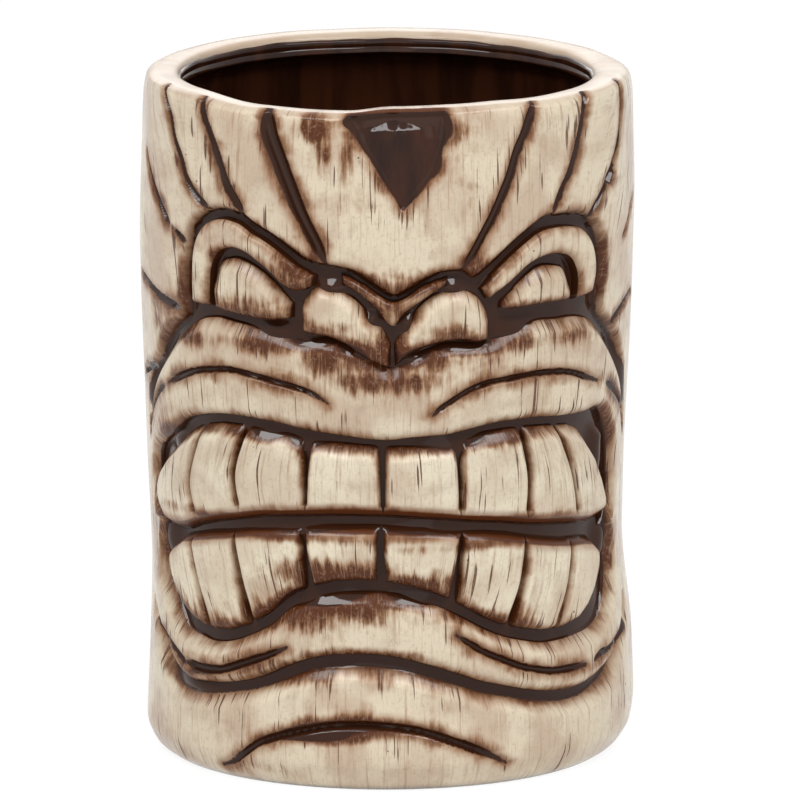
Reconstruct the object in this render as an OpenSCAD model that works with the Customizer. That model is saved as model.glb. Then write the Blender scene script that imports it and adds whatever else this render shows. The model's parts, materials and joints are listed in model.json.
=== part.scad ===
// Tiki mug: a slip-cast, glazed stoneware cup whose front is carved into a traditional face.
// The plain cup carries every carved feature as a separate relief piece, seated in one
// shallow recess, so the grooves between the pieces are the cuts of the carving.
//
// Frame: millimetres, +Z up, origin at the centre of the foot, face towards -Y.
// A place on the wall is [angle, height]: degrees from the front towards +X, and millimetres.

/* [Cup] */
// Height of the mug
height = 130; // [110:1:150]
// Widest radius of the wall, at the brow
belly_r = 46.9; // [43:0.1:50]
// How much narrower the waist is than the belly
waist_in = 2.3; // [0:0.1:4]
// Thickness of the wall below the collar
wall_t = 5.6; // [5:0.1:6.6]
// Width of the rim, from its widest edge to the mouth
rim_w = 7.9; // [7.6:0.1:10]
// Thickness of the floor
floor_t = 6; // [4:0.5:10]
// Height of the collar inside the mouth
collar_h = 3.4; // [2:0.2:6]
// Radius of the corner between the floor and the wall
corner_r = 9; // [4:1:16]
// Depth of the hollow under the floor
foot_h = 1.2; // [0.5:0.1:2]
// Width of the ring that the mug stands on
foot_w = 4.3; // [3:0.1:8]

/* [Carving] */
// Depth of the grooves between the carved features
carve_d = 3; // [2:0.1:3.4]
// Radius of the carved edges
edge_r = 1.8; // [0.8:0.1:2.5]
// How far the widest features swell past the wall
swell = 0.5; // [0:0.1:1.2]
// Gap between two neighbouring teeth, in degrees
tooth_gap_angle = 1.9; // [1:0.1:3]
// Depth of the triangle on the forehead
triangle_d = 1.6; // [1:0.1:2.4]

/* [Glaze] */
// Thickness of the dark glaze inside the cup
liner_t = 0.5; // [0.3:0.1:1]
// Thickness of the glaze pooled in the forehead triangle
pool_t = 0.5; // [0.3:0.1:0.9]

/* [Hidden] */

$fn = 96;
h = height / 130;            // heights are laid out on a mug 130 high
w = belly_r / 46.9;          // small widths are laid out on a mug of this radius
face_half = 80;              // the carving runs this many degrees to each side
spread = face_half / 80;     // its features are laid out over 80 degrees to each side
seat_gap = 0.02;             // air between a relief piece and its seat
recess_low = h * 11;
recess_top = h * 111.2;
triangle_top = h * 129.2;
triangle_half = spread * 30; // the triangle lies within this angle of the front
lip_step = 2.6;              // height of the step from the collar down to the wall
rim_bevel = 2.4;             // slope from the rim's top into the mouth
foot_bevel = 1.2;            // slope from the ring of the foot into its hollow
cream = [0.86, 0.79, 0.68];
cream_dark = [0.80, 0.71, 0.59];
tooth_cream = [0.90, 0.85, 0.73];
brown = [0.20, 0.09, 0.05];

// Wall of the cup as [height, radius], from the foot to the rim
waist_r = belly_r - waist_in;
mouth_r = belly_r - rim_w;
clear_r = belly_r + 4 * w;   // well clear of the wall
side = [[0, waist_r - 3.1 * w], [1.5, waist_r - w], [4, waist_r + 0.4 * w],
        [7, waist_r + 0.9 * w], [20, waist_r + 0.4 * w], [36, waist_r], [54, waist_r + 0.5 * w],
        [71, belly_r - 1.1 * w], [90, belly_r - 0.4 * w], [110, belly_r],
        [124, belly_r - 0.3 * w], [128, belly_r - 0.7 * w], [129.4, belly_r - 1.3 * w],
        [130, belly_r - 2.6 * w]];
wall = [for (i = [0:39]) let (p = curve(side, i / 39)) [p[0] * h, p[1]]];

// Lower edge of the forehead and upper edge of the chin, left to right
forehead_edge = [[-79.9, 70.4], [-77.5, 71.5], [-74, 75.2], [-70, 77.4], [-67, 80.2], [-63.4, 83],
  [-59.8, 85.2], [-55.4, 87.6], [-54.6, 90], [-54.2, 99], [-52.4, 104.6], [-49, 107.6],
  [-45, 109.4], [-40, 109.8], [-35.5, 109.2], [-32.5, 107.8], [-27, 105.8], [-23, 103.8],
  [-18, 101.7], [-9, 100.4], [-5, 98.7], [1, 95.5], [3.5, 95.7], [6.4, 97], [9.7, 98.6],
  [13, 99.6], [18, 99.6], [21, 98.1], [25, 100.2], [29, 102.8], [33, 105], [37, 106.8],
  [40, 107.9], [44, 108], [49, 107.6], [53.5, 106.8], [57, 104.8], [59.8, 102], [61.2, 99],
  [61.3, 95.5], [60.4, 90], [61.4, 87.4], [64, 85.6], [67, 83.8], [70.5, 81.6], [73.6, 78.6],
  [76.5, 76], [79.9, 72.8]];
chin_edge = [[-79.9, 26], [-75, 24.2], [-71, 21.4], [-64.5, 17.4], [-58, 14.8], [-52, 14.8],
  [-44.5, 15.6], [-38, 16.6], [-32, 18], [-26, 20], [-19.5, 22.2], [-13, 23.2], [-6, 23.5],
  [0, 23.2], [6, 22.4], [12, 20.9], [18, 19.4], [24, 17.6], [30, 16.5], [36, 15.3],
  [42, 14.4], [49, 13.8], [55, 14], [60, 15], [65, 16.4], [70, 18.5], [75, 22], [79.9, 24.4]];

// Ribs of each feature from its left end to its right end, as [lower point, upper point]
brow_left_ribs = [[[-51.9, 89.8], [-46, 90.2]], [[-51.9, 96], [-45.9, 94.8]],
  [[-51, 101.4], [-45.2, 98.6]], [[-47.8, 105.5], [-42.8, 101.7]], [[-42.5, 107.4], [-39, 103]],
  [[-37, 107.1], [-35, 102.7]], [[-33, 105.5], [-31.3, 101.4]], [[-28.5, 104], [-27.6, 99.3]],
  [[-24.2, 101.9], [-24.4, 97]], [[-20.3, 99.7], [-21, 95.6]], [[-17.3, 98], [-18, 96]]];
brow_right_ribs = [[[22.6, 95.4], [24.4, 93.6]], [[25.6, 98], [28, 95.9]], [[30, 101], [31.6, 98]],
  [[34.6, 103.5], [35, 100]], [[39, 105.3], [38.6, 101.1]], [[43.5, 105.6], [42, 101.2]],
  [[48.5, 105.3], [45.8, 100.9]], [[53, 104.3], [48.8, 99.5]], [[57, 100.8], [50.8, 97]],
  [[58.4, 95.8], [51.5, 94]], [[56.6, 91], [51.2, 90.8]]];
eye_left_ribs = [[[-43.5, 91.4], [-43.6, 94.5]], [[-42, 91], [-42.3, 98.2]],
  [[-38.5, 90.9], [-38.5, 99.8]], [[-34.5, 90.9], [-34.5, 99.7]], [[-30, 90.9], [-30, 98]],
  [[-26.5, 91], [-26, 95.4]], [[-22.4, 91.4], [-22.4, 93]]];
eye_right_ribs = [[[28, 91.6], [28.2, 92.4]], [[31, 91.2], [31.5, 94.8]], [[35, 91.2], [35, 97]],
  [[39, 91.2], [39, 98.6]], [[43, 91.2], [43, 98.5]], [[46.5, 91.2], [47, 97.4]],
  [[48.7, 91.4], [48.9, 94.6]]];
nose_bridge_ribs = [[[-13, 98.2], [-13, 98.8]], [[-9, 96.9], [-9, 98.2]], [[-5.5, 95.2], [-5.5, 96.6]],
  [[-2.4, 93.1], [-2.2, 94.9]], [[1.4, 90.2], [1.2, 93.6]], [[4.6, 92], [4.4, 94]],
  [[8, 94], [8, 95.7]], [[11.8, 95.7], [11.6, 97]], [[15.5, 97], [15.5, 97.8]]];
nostril_left_ribs = [[[-19.9, 90], [-19.8, 92.6]], [[-17, 88.6], [-17, 96]],
  [[-13.5, 89.2], [-13.5, 96.2]], [[-9.8, 88.2], [-9.7, 95.2]], [[-6.5, 86.2], [-6.5, 93.8]],
  [[-3, 84.5], [-3.4, 91.5]], [[-0.4, 83.4], [-0.5, 89.2]], [[1.2, 83.1], [1.2, 86]]];
nostril_right_ribs = [[[2.2, 83.2], [2.2, 86.4]], [[4, 84.3], [4, 89.2]], [[6.5, 85.6], [6.5, 91.6]],
  [[10, 86.5], [10, 94]], [[14, 87.9], [14, 95.5]], [[18, 88.5], [18, 95.6]],
  [[22, 87.6], [22, 94.2]], [[24.9, 88.5], [24.7, 90.8]]];
upper_lip_ribs = [[[-76.6, 46.05], [-79.9, 46.05]], [[-77, 52], [-79.9, 57]], [[-76, 57.5], [-79.6, 66]],
  [[-72, 60.6], [-77, 70]], [[-66.5, 62.8], [-72.6, 74]], [[-61.5, 65.5], [-65.5, 79]],
  [[-56, 68.4], [-58.5, 83.4]], [[-50, 70.2], [-51.5, 87]], [[-44, 71.1], [-45, 88.9]],
  [[-38, 71.6], [-38, 88.8]], [[-32, 71.5], [-32, 88.6]], [[-26, 70.9], [-26, 88.2]],
  [[-20, 69.7], [-20, 86.4]], [[-14.5, 69], [-14.5, 86]], [[-8.5, 68.6], [-8.5, 84.3]],
  [[-4, 68.2], [-4, 82]], [[1, 68.1], [1, 80.9]], [[5, 68.4], [5.5, 82.1]], [[10, 68.6], [10.5, 84.1]],
  [[15, 68.7], [15, 85]], [[20, 69.7], [20, 84.6]], [[25, 70.6], [25, 84.9]],
  [[30, 70.9], [30, 87.8]], [[38, 70.8], [38, 88.4]], [[44, 70.3], [45, 88.1]],
  [[50.4, 70], [52, 87.8]], [[56.6, 69.7], [59, 86]], [[62.8, 69.6], [65.5, 81.9]],
  [[67.6, 66.6], [71, 77.8]], [[71.2, 62.6], [76.2, 73]], [[72.6, 58], [79.4, 67]],
  [[72.4, 52], [79.9, 57]], [[72, 46.05], [79.9, 46.05]]];
lower_lip_ribs = [[[-79.9, 45.95], [-76.6, 45.95]], [[-79.9, 37], [-75.2, 40]], [[-79.6, 29.6], [-72, 35.4]],
  [[-75, 26.8], [-66.5, 33.4]], [[-68.5, 22.7], [-62.5, 29.6]], [[-62, 18.8], [-58, 27]],
  [[-56, 17.2], [-53, 26.3]], [[-50, 17.6], [-48, 25.8]], [[-44, 18.3], [-42, 26.5]],
  [[-38, 19.2], [-36, 28.3]], [[-32, 20.6], [-30, 30.8]], [[-26, 22.7], [-24, 34.8]],
  [[-20, 24.6], [-18.5, 37]], [[-13, 25.8], [-13, 38]], [[-6, 26.1], [-6.5, 38.3]],
  [[0, 25.9], [0, 38.1]], [[6, 25], [6, 37.1]], [[12, 23.6], [13, 35.4]], [[18, 22], [19, 33]],
  [[24, 20.3], [25, 30.4]], [[30, 19.1], [30.5, 28.5]], [[36, 17.9], [36, 27.3]],
  [[42, 16.9], [42, 26.3]], [[48, 16.4], [48, 26.2]], [[54, 16.6], [54, 26.5]],
  [[60, 17.6], [59.5, 27]], [[66, 19.3], [64.5, 28.8]], [[72, 22.6], [69, 32.4]],
  [[77.4, 26.4], [71.5, 37]], [[79.9, 33], [72.1, 41.5]], [[79.9, 45.95], [72, 45.95]]];

// Rows of teeth: their lower and upper edges, and the lines between them as
// [angle at the bottom, angle half way, angle at the top]
upper_row_low = [[-73.6, 51.6], [-71.5, 49], [-68.5, 47.2], [-64, 47.3], [-59, 48], [-53.6, 49.6],
  [-46.5, 51.2], [-38.3, 52.5], [-32, 53.5], [-23.4, 54.2], [-15, 54.8], [-8.5, 55], [0, 54.9],
  [6, 54.6], [14, 54], [22, 53.2], [30, 52.5], [38, 51.4], [46, 50.6], [54.5, 49.6],
  [60.7, 49], [67.4, 49.6]];
upper_row_high = [[-73.6, 53], [-72.2, 55.4], [-70.2, 57.6], [-66.5, 60], [-62.5, 62.2],
  [-58, 64.8], [-54, 66.6], [-50, 67.8], [-44, 68.8], [-38, 69.3], [-32, 69.2], [-26, 68.6],
  [-20, 67.5], [-14, 66.9], [-8, 66.4], [0, 66], [9, 66.3], [17, 66.5], [20, 67.4],
  [25, 68.3], [30, 68.6], [37, 68.5], [44, 68], [50.4, 67.4], [55, 65.8], [60, 61.6],
  [63.8, 57], [66, 53.6], [67.4, 51]];
upper_lines = [[-73.7, -73.7, -73.7], [-53.2, -55.6, -50.6], [-37.8, -39.6, -36.2],
  [-20, -19.8, -19.2], [-0.7, -0.8, -1], [18.4, 18.2, 17.6], [36.6, 37, 34.8],
  [54.6, 51.4, 46], [67.4, 67.4, 67.4]];
lower_row_low = [[-66.4, 38], [-64.4, 35.4], [-62.4, 33.2], [-59, 30.9], [-54.4, 29.1],
  [-48.6, 28.2], [-42.4, 28.8], [-37, 30.2], [-31, 32.8], [-27.5, 34.9], [-23.4, 37.3],
  [-18.5, 39], [-13, 40.2], [-6.8, 40.6], [-0.6, 40.4], [5.6, 39.5], [11.8, 38],
  [16, 36.6], [20.5, 34.7], [25.4, 32.5], [30, 31], [36, 29.7], [42, 28.8], [48.3, 28.6],
  [54, 29.4], [57.5, 31], [60.4, 33.4], [62.6, 36.2], [64.4, 39.4]];
lower_row_high = [[-66.4, 40], [-64.4, 41.8], [-60, 43.7], [-54.8, 44.7], [-50, 45.7],
  [-41.6, 46.8], [-35, 48], [-28, 49], [-15, 49.8], [-2.7, 49.9], [9.7, 49.5], [18, 48.5],
  [25, 47.9], [32, 47], [38, 45.9], [44, 45], [50.4, 44.1], [57.4, 43.6], [61.5, 43],
  [64.4, 41]];
lower_lines = [[-66.5, -66.5, -66.5], [-48.6, -53.6, -57], [-35.6, -38.4, -40.7],
  [-19.2, -20.2, -20.8], [-1, -1.4, -1.2], [16.8, 18, 19], [31.8, 35.4, 36.9],
  [46.2, 50.8, 52.8], [64.5, 64.5, 64.5]];

triangle = [[-9.6, 128.2], [15.8, 128.6], [17.2, 127], [16, 124], [13, 121.2], [8.4, 116],
            [4.6, 112.2], [2.8, 112], [-0.2, 116.2], [-3.2, 120], [-6.2, 124]];

// Point at u (0 to 1) along a smooth curve through the points p
function curve(p, u) =
  let (k = u * (len(p) - 1), i = min(floor(k), len(p) - 2), t = k - i,
       a = p[max(i - 1, 0)], b = p[i], c = p[i + 1], d = p[min(i + 2, len(p) - 1)])
  (2 * b + (c - a) * t + (2 * a - 5 * b + 4 * c - d) * t * t
   + (3 * b - a - 3 * c + d) * t * t * t) / 2;

function mix(a, b, t) = a + (b - a) * t;
function wall_r(z) = lookup(z, wall);
function place(angle, z, r) = [r * sin(angle * spread), -r * cos(angle * spread), z];

// Height of a relief piece over the wall, at a distance d from its edge and at a place
// s (-1 to 1) across its width: a rounded edge, then a low crown
function relief(d, s, crown) =
  let (e = 1 - min(d / edge_r, 1))
  crown * (1 - s * s) - 0.45 * carve_d * (1 - sqrt(1 - e * e));

// Closed solid from a grid of [angle, height, rise over the wall], rows by stations
module pillow(grid) {
  rows = len(grid);
  cols = len(grid[0]);
  step = max([for (i = [1:rows - 1]) abs(grid[i][0][0] - grid[i - 1][0][0])]);
  seat = 1 / cos(spread * step / 2) - 1;
  outer = [for (row = grid, g = row) place(g[0], g[1], wall_r(g[1]) + g[2])];
  inner = [for (row = grid, g = row)
    let (r = wall_r(g[1]) - carve_d) place(g[0], g[1], r * (1 + seat) + seat_gap)];
  n = rows * cols;
  function at(i, j) = i * cols + j;
  faces_out = [for (i = [0:rows - 2], j = [0:cols - 2])
    each [[at(i, j), at(i, j + 1), at(i + 1, j + 1)], [at(i, j), at(i + 1, j + 1), at(i + 1, j)]]];
  faces_in = [for (f = faces_out) [f[2] + n, f[1] + n, f[0] + n]];
  low = [for (i = [0:rows - 1]) at(i, 0)];
  right = [for (j = [1:cols - 1]) at(rows - 1, j)];
  high = [for (i = [rows - 2:-1:0]) at(i, cols - 1)];
  left = [for (j = [cols - 2:-1:1]) at(0, j)];
  rim = concat(low, right, high, left);
  faces_side = [for (k = [0:len(rim) - 1]) let (a = rim[k], b = rim[(k + 1) % len(rim)])
    each [[a, b, b + n], [a, b + n, a + n]]];
  polyhedron(concat(outer, inner), concat(faces_out, faces_in, faces_side), convexity = 6);
}

across = [0, 0.1, 0.28, 0.5, 0.72, 0.9, 1];
mm_per_degree = spread * belly_r * PI / 180;
function distance(a, b) = norm([(a[0] - b[0]) * mm_per_degree, (a[1] - b[1]) * h]);

// Whether a side stays at full height: "l" the lower edge, "h" the higher edge, "e" both ends
function full(run_out, side) = len(search(side, run_out)) > 0;

// A feature given by its ribs. Each side in run_out stays at full height to meet the wall
module ribbed(ribs, stations, crown, run_out = "") {
  low = [for (rib = ribs) rib[0]];
  high = [for (rib = ribs) rib[1]];
  start = mix(ribs[0][0], ribs[0][1], 0.5);
  end = mix(ribs[len(ribs) - 1][0], ribs[len(ribs) - 1][1], 0.5);
  pillow([for (i = [0:stations])
    let (a = curve(low, i / stations), b = curve(high, i / stations), middle = mix(a, b, 0.5),
         to_end = full(run_out, "e") ? edge_r : min(distance(middle, start), distance(middle, end)))
    [for (v = across)
      let (p = mix(a, b, v), d = min(full(run_out, "l") ? edge_r : distance(a, p),
                                     full(run_out, "h") ? edge_r : distance(p, b), to_end))
      [p[0], p[1] * h, relief(d, 2 * v - 1, crown)]]]);
}

// A tooth between two lines of its row; the outer teeth run to the row's end
module tooth(i, lines, row_low, row_high) {
  stations = 6;
  gap = tooth_gap_angle / 2;
  left = lines[i - 1];
  right = lines[i];
  function point(u, v) =
    let (a = mix(curve(left, v) + (i == 1 ? 0 : gap), curve(right, v) - (i == 8 ? 0 : gap), u))
    [a, mix(lookup(a, row_low), lookup(a, row_high), v)];
  pillow([for (k = [0:stations])
    let (u = k / stations)
    [for (v = across)
      let (p = point(u, v), d = min(distance(p, point(0, v)), distance(p, point(1, v)),
                                    distance(p, point(u, 0)), distance(p, point(u, 1))))
      [p[0], p[1] * h, relief(d, 2 * v - 1, swell / 2)]]]);
}

// The cup: foot, floor, wall and rim, with the field of the carving let into the front
module cast_body() {
  color(cream) difference() {
    rotate_extrude() cup_section();
    skin(carve_d, recess_low, recess_top, face_half);
    intersection() {
      skin(triangle_d, recess_top, triangle_top, triangle_half);
      triangle_prism();
    }
  }
}

// Inside of the cup from the collar down to the middle of the floor, with a skin t thick on it
inside_steps = 12;
function inside(t) =
  let (top = height - collar_h - lip_step, low = floor_t + corner_r,
       r = wall_r(low) - wall_t)
  concat(
    [[mouth_r + 1.6 * w, top]],
    [for (i = [1:inside_steps]) let (z = mix(top, low, i / inside_steps)) [wall_r(z) - wall_t - t, z]],
    [for (a = [15:15:90]) [r - corner_r + (corner_r - t) * cos(a), low - (corner_r - t) * sin(a)]],
    [[0, floor_t + t]]);

module cup_section() {
  outside = [for (w = wall) [w[1], w[0]]];
  collar = [[mouth_r + rim_bevel, height], [mouth_r + 0.9 * w, height - 0.3 * h],
            [mouth_r, height - 1.2 * h], [mouth_r, height - collar_h],
            [mouth_r + w, height - collar_h - 0.5 * h]];
  foot = [[0, foot_h], [wall[0][1] - foot_w - foot_bevel, foot_h], [wall[0][1] - foot_w, 0]];
  polygon(concat(outside, collar, inside(0), foot));
}

// Part of the wall's outer skin, depth thick, from low to top and half degrees to each side
module skin(depth, low, top, half) {
  levels = concat([low], [for (w = wall) if (w[0] > low + 0.5 && w[0] < top - 0.5) w[0]], [top]);
  rotate([0, 0, -90 - half]) rotate_extrude(angle = 2 * half) polygon(concat(
    [for (z = levels) [wall_r(z) - depth, z]], [[clear_r, top], [clear_r, low]]));
}

// The triangle on the forehead, cut straight in from the front
module triangle_prism() {
  rotate([90, 0, 0]) linear_extrude(clear_r)
    polygon([for (p = triangle) [belly_r * sin(p[0] * spread), p[1] * h]]);
}

// The dark glaze that lines the cup below the collar
module liner_glaze() {
  skin = inside(0);
  over = inside(liner_t);
  color(brown) rotate_extrude()
    polygon(concat(skin, [for (i = [len(over) - 1:-1:1]) over[i]]));
}

// The glaze pooled in the triangle
module forehead_glaze() {
  color(brown) intersection() {
    difference() {
      skin(triangle_d, recess_top, triangle_top, triangle_half);
      skin(triangle_d - pool_t, recess_top, triangle_top, triangle_half);
    }
    triangle_prism();
  }
}

module brow_left() { color(cream_dark) ribbed(brow_left_ribs, 30, swell); }
module brow_right() { color(cream_dark) ribbed(brow_right_ribs, 30, swell); }
module eye_left() { color(cream) ribbed(eye_left_ribs, 16, swell); }
module eye_right() { color(cream) ribbed(eye_right_ribs, 16, swell); }
module nose_bridge() { color(cream_dark) ribbed(nose_bridge_ribs, 24, 0); }
module nostril_left() { color(cream) ribbed(nostril_left_ribs, 20, swell); }
module nostril_right() { color(cream) ribbed(nostril_right_ribs, 20, swell); }
module upper_lip() { color(cream_dark) ribbed(upper_lip_ribs, 72, swell, run_out = "e"); }
module lower_lip() { color(cream_dark) ribbed(lower_lip_ribs, 68, swell, run_out = "e"); }

module forehead() {
  color(cream) ribbed([for (p = forehead_edge) [p, [p[0], recess_top / h]]], 64, 0, run_out = "he");
}
module chin() {
  color(cream) ribbed([for (p = chin_edge) [[p[0], recess_low / h], p]], 50, 0, run_out = "le");
}

module upper_tooth(i) { color(tooth_cream) tooth(i, upper_lines, upper_row_low, upper_row_high); }
module lower_tooth(i) { color(tooth_cream) tooth(i, lower_lines, lower_row_low, lower_row_high); }

cast_body();
liner_glaze();
forehead_glaze();
brow_left();
brow_right();
eye_left();
eye_right();
nose_bridge();
nostril_left();
nostril_right();
upper_lip();
lower_lip();
forehead();
chin();
for (i = [1:8]) {
  upper_tooth(i);
  lower_tooth(i);
}
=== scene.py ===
# %% [markdown]
# # A carved tiki mug
#
# The mug is one slip-cast stoneware cup. Its front is carved with a traditional face: brows, eyes,
# nose, two wide lips and two rows of teeth. A dark brown glaze fills the cuts and runs into the
# brush strokes, and a cream glaze covers what stands proud. The construction model gives the size
# and the division into features. This lesson models each feature as dense clay, so that the soft
# shoulders of the carving are real geometry, and then mixes the glazes.
#
# Places on the wall are written as an angle and a height: degrees from the front towards +X, and
# millimetres above the foot. One helper turns them into metres.

# %% Load the frame and measure the cup
import json
import math
import bpy
import numpy as np
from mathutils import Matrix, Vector

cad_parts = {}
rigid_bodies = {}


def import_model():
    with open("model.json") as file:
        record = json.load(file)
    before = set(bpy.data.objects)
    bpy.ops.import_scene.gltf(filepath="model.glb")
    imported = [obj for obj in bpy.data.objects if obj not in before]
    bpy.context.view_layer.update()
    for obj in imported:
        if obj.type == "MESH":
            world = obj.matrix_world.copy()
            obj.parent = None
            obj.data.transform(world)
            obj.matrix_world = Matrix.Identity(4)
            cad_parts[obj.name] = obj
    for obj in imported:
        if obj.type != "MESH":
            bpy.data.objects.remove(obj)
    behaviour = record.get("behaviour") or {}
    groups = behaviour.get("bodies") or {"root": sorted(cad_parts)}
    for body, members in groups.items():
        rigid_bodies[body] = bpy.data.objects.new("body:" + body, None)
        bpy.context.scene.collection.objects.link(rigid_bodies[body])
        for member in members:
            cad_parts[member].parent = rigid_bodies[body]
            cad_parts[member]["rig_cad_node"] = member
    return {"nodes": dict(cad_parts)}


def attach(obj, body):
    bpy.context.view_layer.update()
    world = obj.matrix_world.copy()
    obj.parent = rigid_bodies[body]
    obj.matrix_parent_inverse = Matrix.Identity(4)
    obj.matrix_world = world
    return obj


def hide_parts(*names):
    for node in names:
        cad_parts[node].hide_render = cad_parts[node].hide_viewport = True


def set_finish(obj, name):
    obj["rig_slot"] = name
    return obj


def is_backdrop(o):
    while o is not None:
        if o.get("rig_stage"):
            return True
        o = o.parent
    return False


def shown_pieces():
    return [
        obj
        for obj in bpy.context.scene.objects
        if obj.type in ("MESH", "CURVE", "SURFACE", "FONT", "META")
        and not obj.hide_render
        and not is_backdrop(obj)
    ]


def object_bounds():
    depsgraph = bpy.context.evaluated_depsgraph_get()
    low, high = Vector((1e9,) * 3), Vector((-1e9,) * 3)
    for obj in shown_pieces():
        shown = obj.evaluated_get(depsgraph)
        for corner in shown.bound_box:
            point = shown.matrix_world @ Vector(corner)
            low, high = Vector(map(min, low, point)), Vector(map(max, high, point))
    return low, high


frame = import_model()
cad_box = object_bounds()
MM = 0.001
HEIGHT = (cad_box[1].z - cad_box[0].z) / MM
LOOKS_OUT = 0.3  # least outward part of the normal of a face on the outside


def mesh_places(mesh):
    """Every vertex of a mesh, in millimetres."""
    places = np.empty(len(mesh.vertices) * 3)
    mesh.vertices.foreach_get("co", places)
    return places.reshape(-1, 3) / MM


def measure_wall():
    """Height and radius of the plain wall behind the cup, from its faces that look outward."""
    mesh = frame["nodes"]["cast_body"].data
    outward = [face for face in mesh.polygons if face.center.y > 0
               and face.normal.xy.dot(face.center.xy.normalized()) > LOOKS_OUT]
    corners = np.unique([corner for face in outward for corner in face.vertices])
    places = mesh_places(mesh)[corners]
    levels = np.round(places[:, 2], 2)
    radius = np.hypot(places[:, 0], places[:, 1])
    heights = np.unique(levels)
    return heights, np.array([radius[levels == level].max() for level in heights])


WALL_HEIGHTS, WALL_RADII = measure_wall()
BELLY = WALL_RADII.max()
DEGREE = BELLY * math.pi / 180  # millimetres of wall in one degree
print(f"cup {HEIGHT:.1f} mm high, belly radius {BELLY:.2f} mm, {len(WALL_HEIGHTS)} levels measured")


def wall(height):
    """Radius of the plain wall at a height."""
    return np.interp(height, WALL_HEIGHTS, WALL_RADII)


def ramp(value, low, high):
    """0 at low, 1 at high, smooth between and level beyond; low may be the larger of the two."""
    t = np.clip((value - low) / (high - low), 0, 1)
    return t * t * (3 - 2 * t)


FULLER = 1.65  # millimetres, low on the +X side
FLATTER = 0.7  # millimetres, high on the -X side


def warp(angle, height):
    """How far the fired cup is out of true, in millimetres."""
    low = ramp(height, 44, 22) * ramp(height, -3, 12)
    high = ramp(height, 95, 118)
    fuller = FULLER * np.exp(-((angle - 85) / 40) ** 2) * low
    flatter = FLATTER * np.exp(-((angle + 90) / 40) ** 2) * high
    return fuller - flatter


def around(angle, height, radius):
    """Metres, from degrees round the cup, millimetres up and millimetres out."""
    turn = np.radians(angle)
    return np.stack([radius * np.sin(turn), -radius * np.cos(turn), height], axis=-1) * MM


# %% [markdown]
# ## Camera, floor and light
#
# A mug for sale stands on a white sweep, with a long softbox high to each side of the camera and
# a dim panel in front and behind. The softboxes matter more than the white room: the dark glaze
# only shows its gloss where a surface tilts up towards one of them.
# The camera has a long lens, a little above the rim, so that the mouth shows as a thin ellipse.

# %% Camera
CAMERA_AIM = Vector((0.0026, 0, 0.0659))
CAMERA_REACH = 2.6
CAMERA_RISE = math.radians(11.5)
CAMERA_LENS = 619  # millimetres
CAMERA_SENSOR = 36
toward_camera = Vector((0, -math.cos(CAMERA_RISE), math.sin(CAMERA_RISE)))
bpy.ops.object.select_all(action="DESELECT")
bpy.ops.object.camera_add(location=CAMERA_AIM + toward_camera * CAMERA_REACH)
camera = bpy.context.object
camera.rotation_euler = (-toward_camera).to_track_quat("-Z", "Y").to_euler()
camera.data.lens = CAMERA_LENS
camera.data.sensor_width = CAMERA_SENSOR
bpy.context.scene.camera = camera
print("camera", [round(x, 3) for x in camera.location])


# %% Small helpers for shader nodes
def add(tree, kind, inputs=None, **settings):
    """A shader node with its settings, and with values or links on its inputs."""
    made = tree.nodes.new(kind)
    for key, value in settings.items():
        setattr(made, key, value)
    for key, value in (inputs or {}).items():
        if isinstance(value, bpy.types.NodeSocket):
            tree.links.new(value, made.inputs[key])
        else:
            made.inputs[key].default_value = value
    return made


def maths(tree, operation, *values):
    """The result of a maths node."""
    return add(tree, "ShaderNodeMath", dict(enumerate(values)), operation=operation).outputs[0]


def seen_directly(tree):
    """1 for what the camera sees straight, in a reflection or through glass, 0 for what only lights."""
    rays = add(tree, "ShaderNodeLightPath").outputs
    mirrored = maths(tree, "MAXIMUM", rays["Is Glossy Ray"], rays["Is Transmission Ray"])
    return maths(tree, "MAXIMUM", rays["Is Camera Ray"], mirrored)


# %% Lamps and white room
ROOM_LIGHT = 0.36  # what the room adds to the lamps; seen, it is a full white


def softbox(name, place, aim, width, depth, glow):
    """A rectangular lamp that shows in reflections with the given glow."""
    bpy.ops.object.light_add(type="AREA", location=place)
    lamp = bpy.context.object
    lamp.name = name
    lamp.rotation_euler = (Vector(aim) - Vector(place)).to_track_quat("-Z", "Y").to_euler()
    lamp.data.shape = "RECTANGLE"
    lamp.data.size, lamp.data.size_y = width, depth
    lamp.data.energy = glow * math.pi * width * depth


softbox("left_softbox", (-0.56, -0.51, 1.15), (0, 0, 0.08), 0.9, 0.24, 14)
softbox("right_softbox", (0.57, -0.5, 1.15), (0, 0, 0.08), 0.9, 0.24, 14)
softbox("front_fill", (0.15, -1.6, 0.6), (0, 0, 0.07), 1.2, 0.8, 0.6)
softbox("back_fill", (-0.1, 1.6, 0.8), (0, 0, 0.07), 1.2, 0.8, 1.6)

world = bpy.data.worlds.new("white_room")
bpy.context.scene.world = world
world.use_nodes = True
room = world.node_tree
room.nodes.clear()
level = add(room, "ShaderNodeMapRange",
            {"Value": seen_directly(room), "To Min": ROOM_LIGHT, "To Max": 1.0})
white = add(room, "ShaderNodeBackground", {"Color": (1, 1, 1, 1), "Strength": level.outputs[0]})
add(room, "ShaderNodeOutputWorld", {"Surface": white.outputs[0]})
bpy.context.scene.view_settings.view_transform = "Standard"

bpy.ops.mesh.primitive_plane_add(size=12, location=(0, 0, 0))
floor = bpy.context.object
floor.name = "floor"
floor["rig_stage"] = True
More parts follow.
